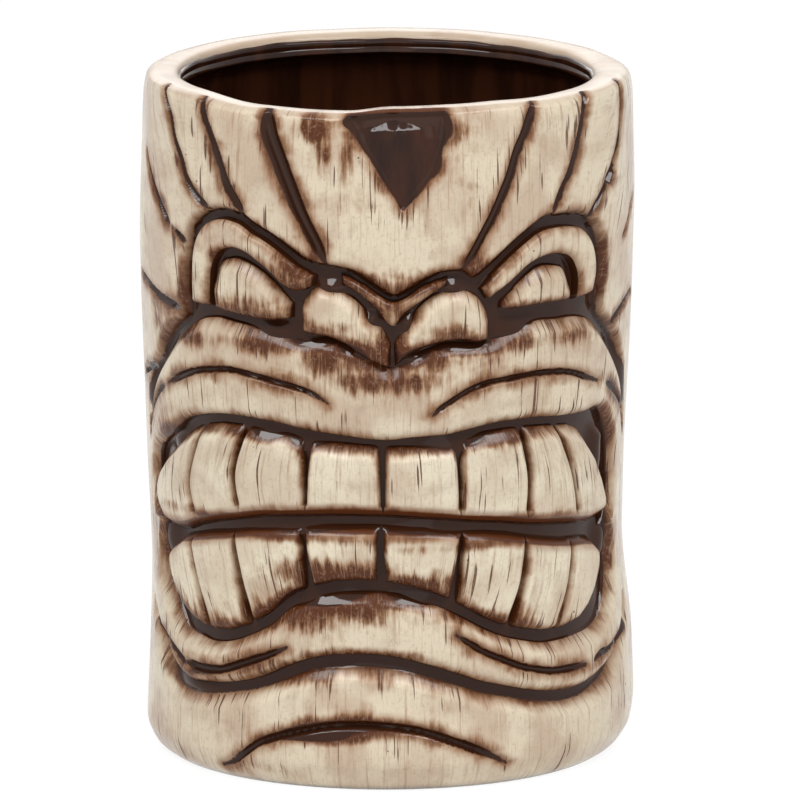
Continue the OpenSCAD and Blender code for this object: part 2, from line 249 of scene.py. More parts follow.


# %% [markdown]
# ## Helpers for modelling in clay
#
# Every feature starts as a flat grid, the digital slab. A rule says where each point of the slab
# goes on the wall and how far it stands out, and an extrude gives the slab its thickness. A
# smooth curve through a few listed points draws each outline.

# %% Curves and distances on the wall
def smooth_curve(points, share):
    """Points at the given shares (0 to 1) along a smooth curve through given points."""
    p = np.array(points, float)
    last = len(p) - 1
    k = np.clip(share, 0, 1) * last
    i = np.minimum(k.astype(int), last - 1)
    t = (k - i)[..., None]
    a, b, c, d = p[np.maximum(i - 1, 0)], p[i], p[i + 1], p[np.minimum(i + 2, last)]
    bend, twist = 2 * a - 5 * b + 4 * c - d, 3 * b - a - 3 * c + d
    return (2 * b + (c - a) * t + bend * t**2 + twist * t**3) / 2


def line_distance(angle, height, line):
    """Millimetres from places on the wall to a polyline, and the share along it of the nearest point."""
    places = np.stack([angle * DEGREE, height], axis=-1).reshape(-1, 2)
    knots = np.array(line, float) * (DEGREE, 1)
    start, step = knots[:-1], np.diff(knots, axis=0)
    length = np.maximum((step**2).sum(1), 1e-9)
    nearest = np.full(len(places), 1e9)
    share = np.zeros(len(places))
    for s, (a, ab, ll) in enumerate(zip(start, step, length)):
        t = np.clip(((places - a) @ ab) / ll, 0, 1)
        gap = np.hypot(*(places - a - t[:, None] * ab).T)
        closer = gap < nearest
        nearest[closer] = gap[closer]
        share[closer] = (s + t[closer]) / len(start)
    return nearest.reshape(np.shape(angle)), share.reshape(np.shape(angle))


def within(angle, height, outline):
    """Which places lie inside a closed outline: their line sideways crosses it an odd number of times."""
    crossed = np.zeros(np.shape(angle), bool)
    for (a, b), (c, d) in zip(outline[:-1], outline[1:]):
        if b != d:
            crossed ^= ((b > height) != (d > height)) & (angle < a + (c - a) * (height - b) / (d - b))
    return crossed


def inward_from(angle, height, outline):
    """Millimetres inside a closed outline, negative outside it."""
    away, _ = line_distance(angle, height, outline)
    return np.where(within(angle, height, outline), away, -away)


# %% Slabs of clay
def slab(name, columns, rows):
    """A flat grid, and the share along (u) and across (v) of each of its vertices."""
    bpy.ops.object.select_all(action="DESELECT")
    bpy.ops.mesh.primitive_grid_add(x_subdivisions=columns, y_subdivisions=rows, size=1)
    piece = bpy.context.object
    piece.name = piece.data.name = name
    flat = mesh_places(piece.data) * MM + 0.5
    for label, shares in (("u", flat[:, 0]), ("v", flat[:, 1])):
        piece.data.attributes.new(label, "FLOAT", "POINT").data.foreach_set("value", shares)
    return piece


def read_shares(mesh):
    """The u and v that each vertex of a slab started with."""
    shares = np.empty((2, len(mesh.vertices)))
    for row, label in zip(shares, ("u", "v")):
        mesh.attributes[label].data.foreach_get("value", row)
    return shares


def put(mesh, places):
    """Moves every vertex to its place in metres."""
    mesh.vertices.foreach_set("co", places.astype(np.float32).ravel())
    mesh.update()


def note(mesh, label, values):
    """Keeps a number or a vector at every vertex for the glaze to read."""
    kind, field = ("FLOAT_VECTOR", "vector") if values.ndim == 2 else ("FLOAT", "value")
    attribute = mesh.attributes.new(label, kind, "POINT")
    attribute.data.foreach_set(field, values.astype(np.float32).ravel())


def thicken(piece):
    """Extrudes the whole slab and returns which vertices are the new face of it."""
    bpy.ops.object.mode_set(mode="EDIT")
    bpy.ops.mesh.select_all(action="SELECT")
    bpy.ops.mesh.extrude_region_move(TRANSFORM_OT_translate={"value": (0, 0, MM)})
    bpy.ops.object.mode_set(mode="OBJECT")
    face = np.empty(len(piece.data.vertices), bool)
    piece.data.vertices.foreach_get("select", face)
    return face


WELD = 0.002  # millimetres
CREASE = math.radians(50)  # a sharper edge than this stays an edge


def finish_clay(piece, node_names, slot_name):
    """Closes, turns outward, smooths and hands the piece to the frame."""
    bpy.ops.object.mode_set(mode="EDIT")
    bpy.ops.mesh.select_all(action="SELECT")
    bpy.ops.mesh.remove_doubles(threshold=MM * WELD)
    bpy.ops.mesh.normals_make_consistent(inside=False)
    bpy.ops.object.mode_set(mode="OBJECT")
    bpy.ops.object.shade_smooth_by_angle(angle=CREASE)
    for label in ("u", "v"):
        piece.data.attributes.remove(piece.data.attributes[label])
    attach(piece, "root")
    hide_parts(*node_names)
    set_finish(piece, slot_name)
    triangles = sum(len(face.vertices) - 2 for face in piece.data.polygons)
    print(f"{piece.name}: {triangles} triangles")


# %% [markdown]
# ## The cuts
#
# Beside the grooves that part the features, single knife cuts run over the forehead, the lips and
# the temples. Each is a few points and a width at its start and end. They are filled with glaze.

# %% Knife cuts: [angle, height] points, width at the start and at the end
FOREHEAD_CUTS = [
    ([[-77, 116], [-74, 113], [-70, 110], [-66, 107], [-61.5, 104]], 1.1, 1.5),
    ([[-58.7, 103], [-54.4, 101.7]], 1.2, 1.2),
    ([[-68, 130], [-65, 127.7], [-61.4, 124.7], [-59.4, 120.7], [-56, 117], [-54, 114],
      [-50.3, 111], [-45, 108.6]], 1.1, 1.6),
    ([[-49.6, 130], [-47.4, 126.4], [-45, 123], [-42.8, 119.4], [-40.3, 114.8], [-37.8, 111.8],
      [-35, 108.8]], 1.5, 1.8),
    ([[-29.6, 130], [-28, 125], [-25.5, 120], [-22.8, 115], [-20, 110], [-17, 105.5],
      [-14, 100.8]], 3.9, 2.0),
    ([[37.5, 130], [35.5, 127], [34, 124.4], [31.8, 121], [29.8, 116.5], [28, 113.5],
      [25.5, 109.5], [23, 106], [20.5, 102.5], [18, 99.7]], 1.8, 1.5),
    ([[56.2, 130], [54, 128.4], [52.5, 125.4], [50.8, 121.8], [49, 118], [47, 114.8],
      [44.6, 112], [42, 108]], 1.2, 1.4),
    ([[75, 130], [72.7, 128], [71.4, 124.4], [70, 121], [67.7, 117.8], [65, 115], [61, 111],
      [57.8, 108.6], [54, 105.8]], 0.9, 1.3),
    ([[66, 114.5], [62.5, 112]], 2.4, 2.6),
    ([[84, 107], [79.3, 104.6], [76.8, 102.6], [72.7, 100]], 1.0, 0.8),
]
TEMPLE_CUTS = [
    ([[-82, 92], [-74.7, 91], [-70, 90], [-65, 89.3], [-57, 88.6]], 1.2, 1.5),
    ([[-84, 72.6], [-80, 73.6], [-77, 74.6], [-73.5, 75]], 0.8, 2.0),
    ([[67, 84.6], [70, 85.5], [78.5, 87.7], [84, 88.6]], 1.4, 0.8),
]
CHIN_CUTS = [
    ([[-44, 2.6], [-40.5, 3.6], [-37.4, 5.2], [-34.4, 6.9], [-31.5, 8.4], [-27.4, 9.7],
      [-22.6, 10.9], [-16.6, 12.1], [-11, 12.8], [-4.8, 13], [1.4, 12.7], [7.7, 11.9],
      [13.9, 10.3], [20, 8.4], [25.4, 6.5], [30, 4.6]], 1.2, 1.6),
]
UPPER_LIP_CUTS = [
    ([[-13.5, 74.2], [-17.6, 76], [-21.7, 77], [-26.7, 77.7], [-32, 78.4], [-39, 78.9],
      [-44.5, 78.4], [-50, 77.6], [-54.4, 76.4], [-59, 74.9], [-62.7, 73.6]], 0.8, 1.3),
    ([[-65, 72.8], [-68.5, 71.3], [-72.2, 69], [-75.5, 66.5], [-78, 63.5], [-79.4, 61.6]], 1.2, 1.0),
    ([[11, 72], [13, 73.4], [16.3, 75], [20, 76.6], [24.6, 77.7], [31, 78.1], [37, 78.4], [42, 78.2],
      [46.3, 77.8], [50.4, 77], [54.5, 75.8], [59.5, 74.4]], 0.8, 1.2),
    ([[64.8, 73.4], [68, 72], [71.8, 70], [75.2, 67.5], [77.6, 64.6], [79.7, 62]], 1.2, 1.0),
]
LOWER_LIP_CUTS = [
    ([[-70, 25], [-66.8, 23.8], [-63, 22.5], [-59.4, 21.3], [-57.3, 20.5]], 1.4, 1.4),
    ([[-56.5, 20.8], [-52.7, 20.5], [-48.6, 20.5], [-43.6, 21], [-38.3, 22.5], [-34, 23.8],
      [-30, 25], [-24.6, 27]], 1.8, 1.2),
    ([[17, 29.8], [20.5, 28], [24.6, 26], [29.7, 24.2], [34, 22.7], [39, 21.6], [44, 20.8],
      [49.6, 20.6], [55, 20.6]], 1.0, 1.4),
    ([[58.6, 20.9], [61.5, 21.9], [65, 22], [69.4, 23.2], [72.3, 23.9]], 1.2, 1.0),
]
CUT_DEPTH = 1.2
CUT_HALF = 0.7  # half the width of the cut that is this deep
CUT_SHOULDER = 0.5  # how far the clay rounds over beside a cut
CUT_FLAT = 0.15  # share of a cut's half width that is its bottom
CUT_TIP = 0.3  # share of the depth that is left at an end
CUT_TAPER = 0.12  # share of the length in which an end rises
CUT_SPILL = 0.2  # how far the glaze comes out over a cut's edge
NO_GLAZE = 9.0  # a distance at which no groove is near


def cut(angle, height, cuts):
    """Depth of the knife cuts at each place, and the distance to the glaze that fills them."""
    depth = np.zeros(np.shape(angle))
    glaze = np.full(np.shape(angle), NO_GLAZE)
    for points, wide, narrow in cuts:
        line = smooth_curve(points, np.linspace(0, 1, 6 * len(points)))
        away, share = line_distance(angle, height, line)
        half = (wide + (narrow - wide) * share) / 2
        taper = CUT_TIP + (1 - CUT_TIP) * ramp(np.minimum(share, 1 - share), 0, CUT_TAPER)
        drop = CUT_DEPTH * np.sqrt(half / CUT_HALF) * taper
        depth = np.maximum(depth, drop * (1 - ramp(away, CUT_FLAT * half, half + CUT_SHOULDER)))
        glaze = np.minimum(glaze, away - half * taper - CUT_SPILL)
    return depth, glaze


# %% [markdown]
# ## Brown washes
#
# The brown is brushed on and wiped off, and what stays in the low places also stains the clay
# beside them. A few broad stains sit under the nose, on the forehead and on the lips. Where the
# dark glaze runs together it stands in a puddle on the ledge below, tilts up and takes a highlight.

# %% Stains and puddles: angle, height, half width, half height, strength
STAINS = [
    # forehead
    (-17, 127, 4, 3, 1.7), (-15, 121.5, 2.5, 4, 1), (-9, 121, 2, 5, 0.6), (-64, 108, 3, 3, 0.5),
    (18, 126, 3, 3, 0.7), (4, 130, 12, 1.5, 0.7), (-8, 110, 14, 8, 0.2), (22, 118, 9, 8, 0.22),
    # brows, eyes and temples
    (-56, 93, 2, 5, 0.7), (-68, 84, 6, 4, 0.7), (63, 98, 3, 7, 0.7), (-22, 99, 5, 4, 1.1),
    (22, 99, 4, 3, 0.8), (37, 91, 10, 1.6, 0.8), (-34, 92, 9, 2.4, 0.9), (-40, 101, 8, 1.5, 0.5),
    (27, 92, 3, 3, 0.8),
    # nose
    (3, 97, 8, 2.5, 0.7), (-12, 97, 3, 2, 0.6), (-14, 89, 7, 1.5, 0.7), (14, 88, 8, 1.5, 0.7),
    (-6, 97, 7, 2, 1), (8, 96.5, 7, 1.6, 0.9), (1, 92.5, 5, 2, 0.8),
    # upper lip
    (0, 83, 20, 3.5, 1.3), (-14, 83, 8, 4, 1.2), (18, 84, 10, 3, 0.9), (-28, 84.6, 14, 2, 1.2),
    (0, 78.6, 14, 2.4, 1.3), (30, 84.6, 10, 2, 0.9), (-52, 84, 10, 2, 0.9), (50, 84.6, 10, 2, 0.8),
    (-66, 64, 4, 4, 0.7), (68, 65, 4, 5, 0.8),
    # upper teeth
    (-50, 66.5, 10, 1, 0.6), (-34, 67.5, 9, 1.5, 1.1), (-20, 66, 4, 2.5, 0.8), (30, 66.5, 10, 1.5, 0.8),
    (0, 65.5, 20, 1.2, 0.5), (-50, 50, 22, 1.2, 0.6), (-6, 53.6, 20, 1.2, 0.6), (35, 50.5, 20, 1.2, 0.6),
    # lower teeth
    (-20, 48, 30, 1.1, 0.7), (25, 46.5, 25, 1.1, 0.6), (-12, 41, 10, 2.5, 0.9), (12, 39, 8, 2.5, 0.8),
    (-14, 41.5, 14, 2.6, 1.5), (10, 40, 10, 2.2, 1.2), (-45, 30, 8, 2, 0.7), (30, 32, 9, 2.4, 0.7),
    (-58, 31, 8, 3, 0.8), (-74, 42, 5, 6, 0.7), (72, 42, 5, 7, 0.7),
    # lower lip
    (-10, 36, 15, 4, 1.3), (20, 33, 10, 2, 0.6), (-30, 33, 9, 3, 1.1), (-20, 33, 8, 3, 1.3),
    (-6, 26, 20, 1.4, 0.6), (-20, 22, 14, 2.5, 0.5), (8, 21, 12, 3, 0.4),
    # chin
    (-62, 18, 8, 2, 0.6), (45, 16, 12, 1.5, 0.5), (0, 16, 30, 3, 0.15), (-8, 12, 14, 2.5, 0.8),
    (-57, 3, 5, 1.6, 0.6), (-30, 3.5, 6, 1.6, 0.5),
]
PUDDLES = [
    # forehead
    (16, 125, 2, 3, 0.8), (12, 119, 2, 2, 0.8), (-8, 128.5, 4, 1.5, 0.8),
    # under the eyes and round the nose
    (-27, 88, 5, 1.6, 1.8), (31, 88, 6, 1.6, 1.8), (-13, 97, 3.5, 1.4, 1.5), (16, 97, 3, 1.4, 1.4),
    (-4, 90.6, 2.5, 1.8, 1.2), (5, 90.4, 2.5, 1.8, 1.2), (-8, 84.4, 5, 1.6, 2.1),
    (-17, 85.6, 6, 1.4, 2.1), (7, 83.4, 5, 1.6, 2.1), (18, 84.7, 8, 1.4, 2.1),
    # mouth
    (-30, 67.2, 4, 1.5, 1.8), (-20, 66.2, 5, 1.5, 1.6), (18, 66.2, 9, 1.6, 1.7),
    (-60, 63.5, 5, 2, 0.9), (64, 62, 3, 4, 1.0), (-22, 50, 10, 1.4, 1.2), (9, 50, 9, 1.4, 1.2),
    (-69, 45, 4, 3, 1.6), (68, 44.5, 3, 3, 1.6),
    # lower lip and chin
    (-14, 36.4, 9, 2.4, 3.0), (4, 36.2, 8, 1.6, 1.6), (-55, 18, 8, 1.5, 0.7), (-14, 10.4, 8, 2, 2.2),
]
LEDGE_SLOPE = 0.7  # a ledge this steep shows a softbox to the eye
LEDGE_RISE = 1.4  # the most that glaze stands up on a ledge
FAN_START = 60  # height above which the brush strokes fan out
FAN = 0.004  # how much they do, for each millimetre


def patches(angle, height, places):
    """The strongest of a few soft oval patches at each place."""
    total = np.zeros(np.shape(angle))
    for a, h, wide, high, strength in places:
        oval = np.exp(-((angle - a) / wide) ** 2 - ((height - h) / high) ** 2)
        total = np.maximum(total, strength * oval)
    return total


def puddle_wedge(angle, height):
    """How high the glaze stands in the grooves: it lies on the ledge below, and looks up."""
    rise = np.zeros(np.shape(angle))
    for a, h, wide, high, _ in PUDDLES:
        slope = LEDGE_SLOPE * np.clip(h + 0.8 * high - height, 0, 1.6 * high)
        spread = np.exp(-((angle - a) / wide / 1.1) ** 2) * ramp(height, h - 2.4 * high, h - high)
        rise = np.maximum(rise, np.minimum(slope, LEDGE_RISE) * spread)
    return rise


def clay_notes(angle, height, glaze):
    """What the glaze reads at each place: distance to the pooled glaze, brown stain, and brush grain.
    The brush ran straight up and down, and fanned out a little over the lips."""
    near_lips = ramp(np.abs(angle), 40, 75) * ramp(np.abs(angle), 115, 85) * (height > FAN_START)
    fanned = angle * (1 - FAN * (height - FAN_START) * near_lips)
    return dict(glaze_distance=glaze - patches(angle, height, PUDDLES),
                stain=patches(angle, height, STAINS), grain=around(fanned, height, BELLY) / MM,
                brush_and_shade=np.ones(np.shape(angle)))


# %% [markdown]
# ## The casting
#
# The plain cup is one rolled slab: its rows run from under the foot, up the wall, over the rim and
# down the inside to the floor, and its columns go round. Where the face is carved the grid is
# fine, elsewhere coarse. Each point of the wall is then pushed in by what the carver cut away.

# %% Sizes of the cup that the carving depends on, in millimetres
CARVE_DEPTH = 3.0
POOL_DEPTH = 2.2  # down to the glaze that fills the grooves
GROW = 0.4  # how far the foot of a feature reaches past its edge
FACE_HALF = 80  # degrees to each side
RIM_WIDTH = 7.9
WALL_THICKNESS = 5.6
FLOOR = 6.0
CORNER = 9.0
FOOT_HOLLOW = 1.2
FOOT_RING = 4.3
COLLAR = 3.4
MOUTH = BELLY - RIM_WIDTH
LOWER_EDGE = dict(start=1.3, power=2.4)  # a rounded edge starts this far in, and falls this steeply
LIP_EDGE = dict(start=2.2, power=2.3)  # a fuller roll, into the mouth
UPPER_EDGE = dict(start=2.6, power=1.15)  # a slope that looks up, where the glaze lies
MOUTH_EDGE = dict(start=1.1, power=1.5, reach=1.7)  # slopes on, past the cream of a tooth

FOREHEAD_EDGE = [[-79.9, 70.4], [-77.5, 71.5], [-74, 75.2], [-70, 77.4], [-67, 80.2], [-63.4, 83],
    [-59.8, 85.2], [-55.4, 87.6], [-54.6, 90], [-54.2, 99], [-52.4, 104.4], [-49, 107.2],
    [-45, 108.9], [-40, 109.3], [-35.5, 108.7], [-32.5, 107.4], [-27, 105.4], [-23, 103.5],
    [-18, 101.2], [-9, 100], [-5, 98.4], [1, 95.3], [3.5, 95.5], [6.4, 96.8], [9.7, 98.3],
    [13, 99.3], [18, 99.4], [21, 98.1], [25, 100.2], [29, 102.8], [33, 105], [37, 106.8],
    [40, 107.9], [44, 108], [49, 107.6], [53.5, 106.8], [57, 104.8], [59.8, 102], [61.2, 99],
    [61.3, 95.5], [60.4, 90], [61.4, 87.4], [64, 85.6], [67, 83.8], [70.5, 81.6], [73.6, 78.6],
    [76.5, 76], [79.9, 72.8]]
CHIN_EDGE = [[-79.9, 26.4], [-75, 24.6], [-71, 21.8], [-64.5, 17.9], [-58, 15.3], [-52, 15.3],
    [-44.5, 16.1], [-38, 17.1], [-32, 18.4], [-26, 20.3], [-19.5, 22.4], [-13, 23.4], [-6, 23.7],
    [0, 23.4], [6, 22.6], [12, 21.1], [18, 19.7], [24, 18], [30, 16.9], [36, 15.7],
    [42, 14.8], [49, 14.2], [55, 14.4], [60, 15.4], [65, 16.8], [70, 18.9], [75, 22.4], [79.9, 24.8]]
# The triangle on the forehead: angle and height on its left edge, then on its right edge
TRIANGLE = [
    (3.4, 111, 4.4, 111), (2, 113.2, 6.6, 113), (-1.2, 117, 10.6, 117), (-3.5, 120.2, 12.4, 120.2),
    (-6.4, 124, 14, 124), (-8.4, 127, 15, 127), (-9.6, 128.6, 14.8, 128.8), (-9, 129.6, 14, 129.6)]
TRIANGLE_DEPTH = 1.6
TRIANGLE_TAPER = 1.5  # how far the wall of the triangle's recess slopes, half a millimetre of it outside
RUN_OUT = 10  # degrees in which a groove rises to nothing at the side of the face
MOUTH_MIDDLE = 46  # height of the gap between the rows of teeth
CLEAR_OF_MOUTH = (17, 22)  # only this far above and below the mouth do grooves run out
PUDDLE_COVER = 0.7  # glaze on a ledge stays this far below the wall
UNEVENNESS = 0.06  # size of the waves in the wall
SAG = 0.06  # size of the waves in the rim
SAG_REACH = 12  # how far down from the rim the wall sags with it


# %% How far each place of the wall is cut back
def edge_drop(inward, start, power, reach=GROW):
    """Drop of a rounded edge at a distance inward from it, down to the glaze in the groove."""
    return POOL_DEPTH * np.clip((start - inward) / (start + reach), 0, 1) ** power


def uneven(angle, height):
    """The hand-worked unevenness of the clay, always inward, in millimetres."""
    turn = np.radians(angle)
    wave = np.sin(7 * turn + height * 0.11) + np.sin(13 * turn - height * 0.07 + 1.3)
    wave += np.sin(23 * turn + height * 0.21 + 0.4) * 0.6
    return UNEVENNESS * (2.6 - wave)


def rim_dip(angle):
    """How far the rim sags below its full height, in millimetres."""
    turn = np.radians(angle)
    waves = 2.1 + np.sin(3 * turn + 2) + 0.6 * np.sin(8 * turn) + 0.5 * np.sin(17 * turn + 1)
    front_left = 0.7 * ramp(angle, -60, -35) * ramp(angle, 2, -10)
    front = ramp(angle, -12, 2) * ramp(angle, 40, 26)
    return SAG * waves + front_left + 0.3 * (1 - front)


def sagged(angle, height):
    """Heights near the rim, lowered where it sags."""
    return height - rim_dip(angle) * ramp(height, HEIGHT - SAG_REACH, HEIGHT)


def two_edges(ribs, stations):
    """The two smooth edges of a feature, from its ribs."""
    low_points, high_points = np.array(ribs, float).reshape(-1, 2, 2).transpose(1, 0, 2)
    return smooth_curve(low_points, stations), smooth_curve(high_points, stations)


def triangle_outline():
    """The closed outline of the forehead triangle."""
    left, right = two_edges(TRIANGLE, np.linspace(0, 1, 60))
    return np.concatenate([left, right[::-1], left[:1]])


def carved_wall(angle, height):
    """Depth cut away from the plain wall, and the distance to the glaze."""
    beside = np.abs(angle)
    drops, inwards = [], []
    for edge, side, shape in ((FOREHEAD_EDGE, 1, LOWER_EDGE), (CHIN_EDGE, -1, UPPER_EDGE)):
        line = smooth_curve(edge, np.linspace(0, 1, 5 * len(edge)))
        level = np.interp(angle, *line.T)
        away, _ = line_distance(angle, height, line)
        standing = (beside > FACE_HALF) | ((height - level) * side > 0)
        inward = np.where(standing, away, -away)
        drops.append(edge_drop(inward, **shape))
        inwards.append(inward)
    end = ramp(beside, FACE_HALF - 2, FACE_HALF)
    clear_of_mouth = ramp(np.abs(height - MOUTH_MIDDLE), *CLEAR_OF_MOUTH)
    fade = np.maximum(end, ramp(beside, FACE_HALF - RUN_OUT, FACE_HALF - 1) * clear_of_mouth)
    depth, glaze = np.minimum(*drops) * (1 - fade), np.maximum(*inwards) + NO_GLAZE * end
    depth -= np.minimum(puddle_wedge(angle, height), np.maximum(depth - PUDDLE_COVER, 0))
    cut_depth, cut_glaze = cut(angle, height, FOREHEAD_CUTS + TEMPLE_CUTS + CHIN_CUTS)
    triangle = inward_from(angle, height, triangle_outline())
    triangle_depth = TRIANGLE_DEPTH * ramp(triangle, 1 - TRIANGLE_TAPER, 1)
    depth = np.maximum.reduce([depth, cut_depth, triangle_depth])
    return depth, np.minimum.reduce([glaze, cut_glaze, -triangle])


# %% Rows and columns of the rolled slab
FINE_ROW = 0.42  # millimetres, where the casting itself is carved
COARSE_ROW = 1.6  # behind the teeth
COARSE_FROM, COARSE_TO = 28, 69  # heights between which lips and teeth hide the casting
FINE_COLUMN = 0.52  # degrees
FINE_HALF = 84  # degrees to each side that have fine columns
BACK_COLUMNS = 49  # coarse ones round the back
# The same share paints the rim darker, as painted shade.
RIM_WIPED_AND_SHADED = 0.85  # share of the brush strokes that the potter's sponge takes off the rim


def cup_profile():
    """Radius and height of each row, from under the foot to the middle of the floor inside."""
    wall_rows = np.concatenate([np.arange(0.3, COARSE_FROM, FINE_ROW),
                                np.arange(COARSE_FROM, COARSE_TO, COARSE_ROW),
                                np.arange(COARSE_TO, HEIGHT - 0.1, FINE_ROW), [HEIGHT]])
    start = wall(0)
    foot = [[0, FOOT_HOLLOW], [15, FOOT_HOLLOW], [30, FOOT_HOLLOW],
            [start - FOOT_RING - 1.2, FOOT_HOLLOW], [start - FOOT_RING, 0], [start - 2, 0], [start, 0]]
    rim = [[MOUTH + 4.1, HEIGHT], [MOUTH + 2.4, HEIGHT - 0.02], [MOUTH + 1.5, HEIGHT - 0.12],
           [MOUTH + 0.7, HEIGHT - 0.4], [MOUTH + 0.2, HEIGHT - 0.8], [MOUTH, HEIGHT - 1.4],
           [MOUTH, HEIGHT - COLLAR], [MOUTH + 1, HEIGHT - COLLAR - 0.6]]
    low = FLOOR + CORNER
    inside = [[wall(z) - WALL_THICKNESS, z] for z in np.linspace(HEIGHT - COLLAR - 3, low, 8)]
    centre = wall(low) - WALL_THICKNESS - CORNER
    corner = [[centre + CORNER * math.cos(a), low - CORNER * math.sin(a)]
              for a in np.linspace(0.3, math.pi / 2, 5)]
    rows = foot + [[wall(z), z] for z in wall_rows] + rim + inside + corner + [[0, FLOOR]]
    return np.array(rows), len(foot), len(foot) + len(wall_rows)


def turned(name, profile, angles):
    """A slab rolled into a turned shape: its rows follow the profile, its columns go round."""
    piece = slab(name, len(angles) - 1, len(profile) - 1)
    u, v = read_shares(piece.data)
    angle = np.interp(u, np.linspace(0, 1, len(angles)), angles)
    row = np.rint(v * (len(profile) - 1)).astype(int)
    return piece, angle, row


profile, first_wall_row, end_wall_row = cup_profile()
front = np.arange(-FINE_HALF, FINE_HALF + 0.01, FINE_COLUMN)
back = np.linspace(front[-1], 360 + front[0], BACK_COLUMNS + 1)[1:]
casting, angle, row = turned("casting", profile, np.concatenate([front, back]))
angle = np.where(angle > 180, angle - 360, angle)
radius, height = profile[row].T
depth, glaze = np.zeros(len(angle)), np.full(len(angle), NO_GLAZE)
on_wall = (row >= first_wall_row - 1) & (row < end_wall_row)
depth[on_wall], glaze[on_wall] = carved_wall(angle[on_wall], height[on_wall])
depth[on_wall] += uneven(angle[on_wall], height[on_wall]) * ramp(height[on_wall], 0, 3)
outside = ramp(row, 3, first_wall_row) * ramp(row, end_wall_row + 5, end_wall_row)
radius_carved = radius - depth + warp(angle, height) * outside
put(casting.data, around(angle, sagged(angle, height), radius_carved))
notes = clay_notes(angle, height, glaze)
on_rim = height > HEIGHT - 1
notes["grain"][:, 2] += np.maximum(BELLY - radius, 0) * on_rim  # the strokes run on over the rim
# Fewer brush strokes over the rim and down the inside, and painted shade: the cream is painted darker
# there.
notes["brush_and_shade"] = 1 - RIM_WIPED_AND_SHADED * ramp(row, end_wall_row - 5, end_wall_row + 1)
for label, values in notes.items():
    note(casting.data, label, values)
finish_clay(casting, ["cast_body", "forehead", "chin"], "washed_glaze")


# %% [markdown]
# ## The carved features
#
# Brows, eyes, nostrils and lips are slabs that follow ribs: pairs of points on the lower and the
# upper edge, from the feature's left end to its right end. A carver rounds the lower edges tightly
# and slopes the upper ones, and so the glaze lies on the upper edges of the lips and the nostrils.

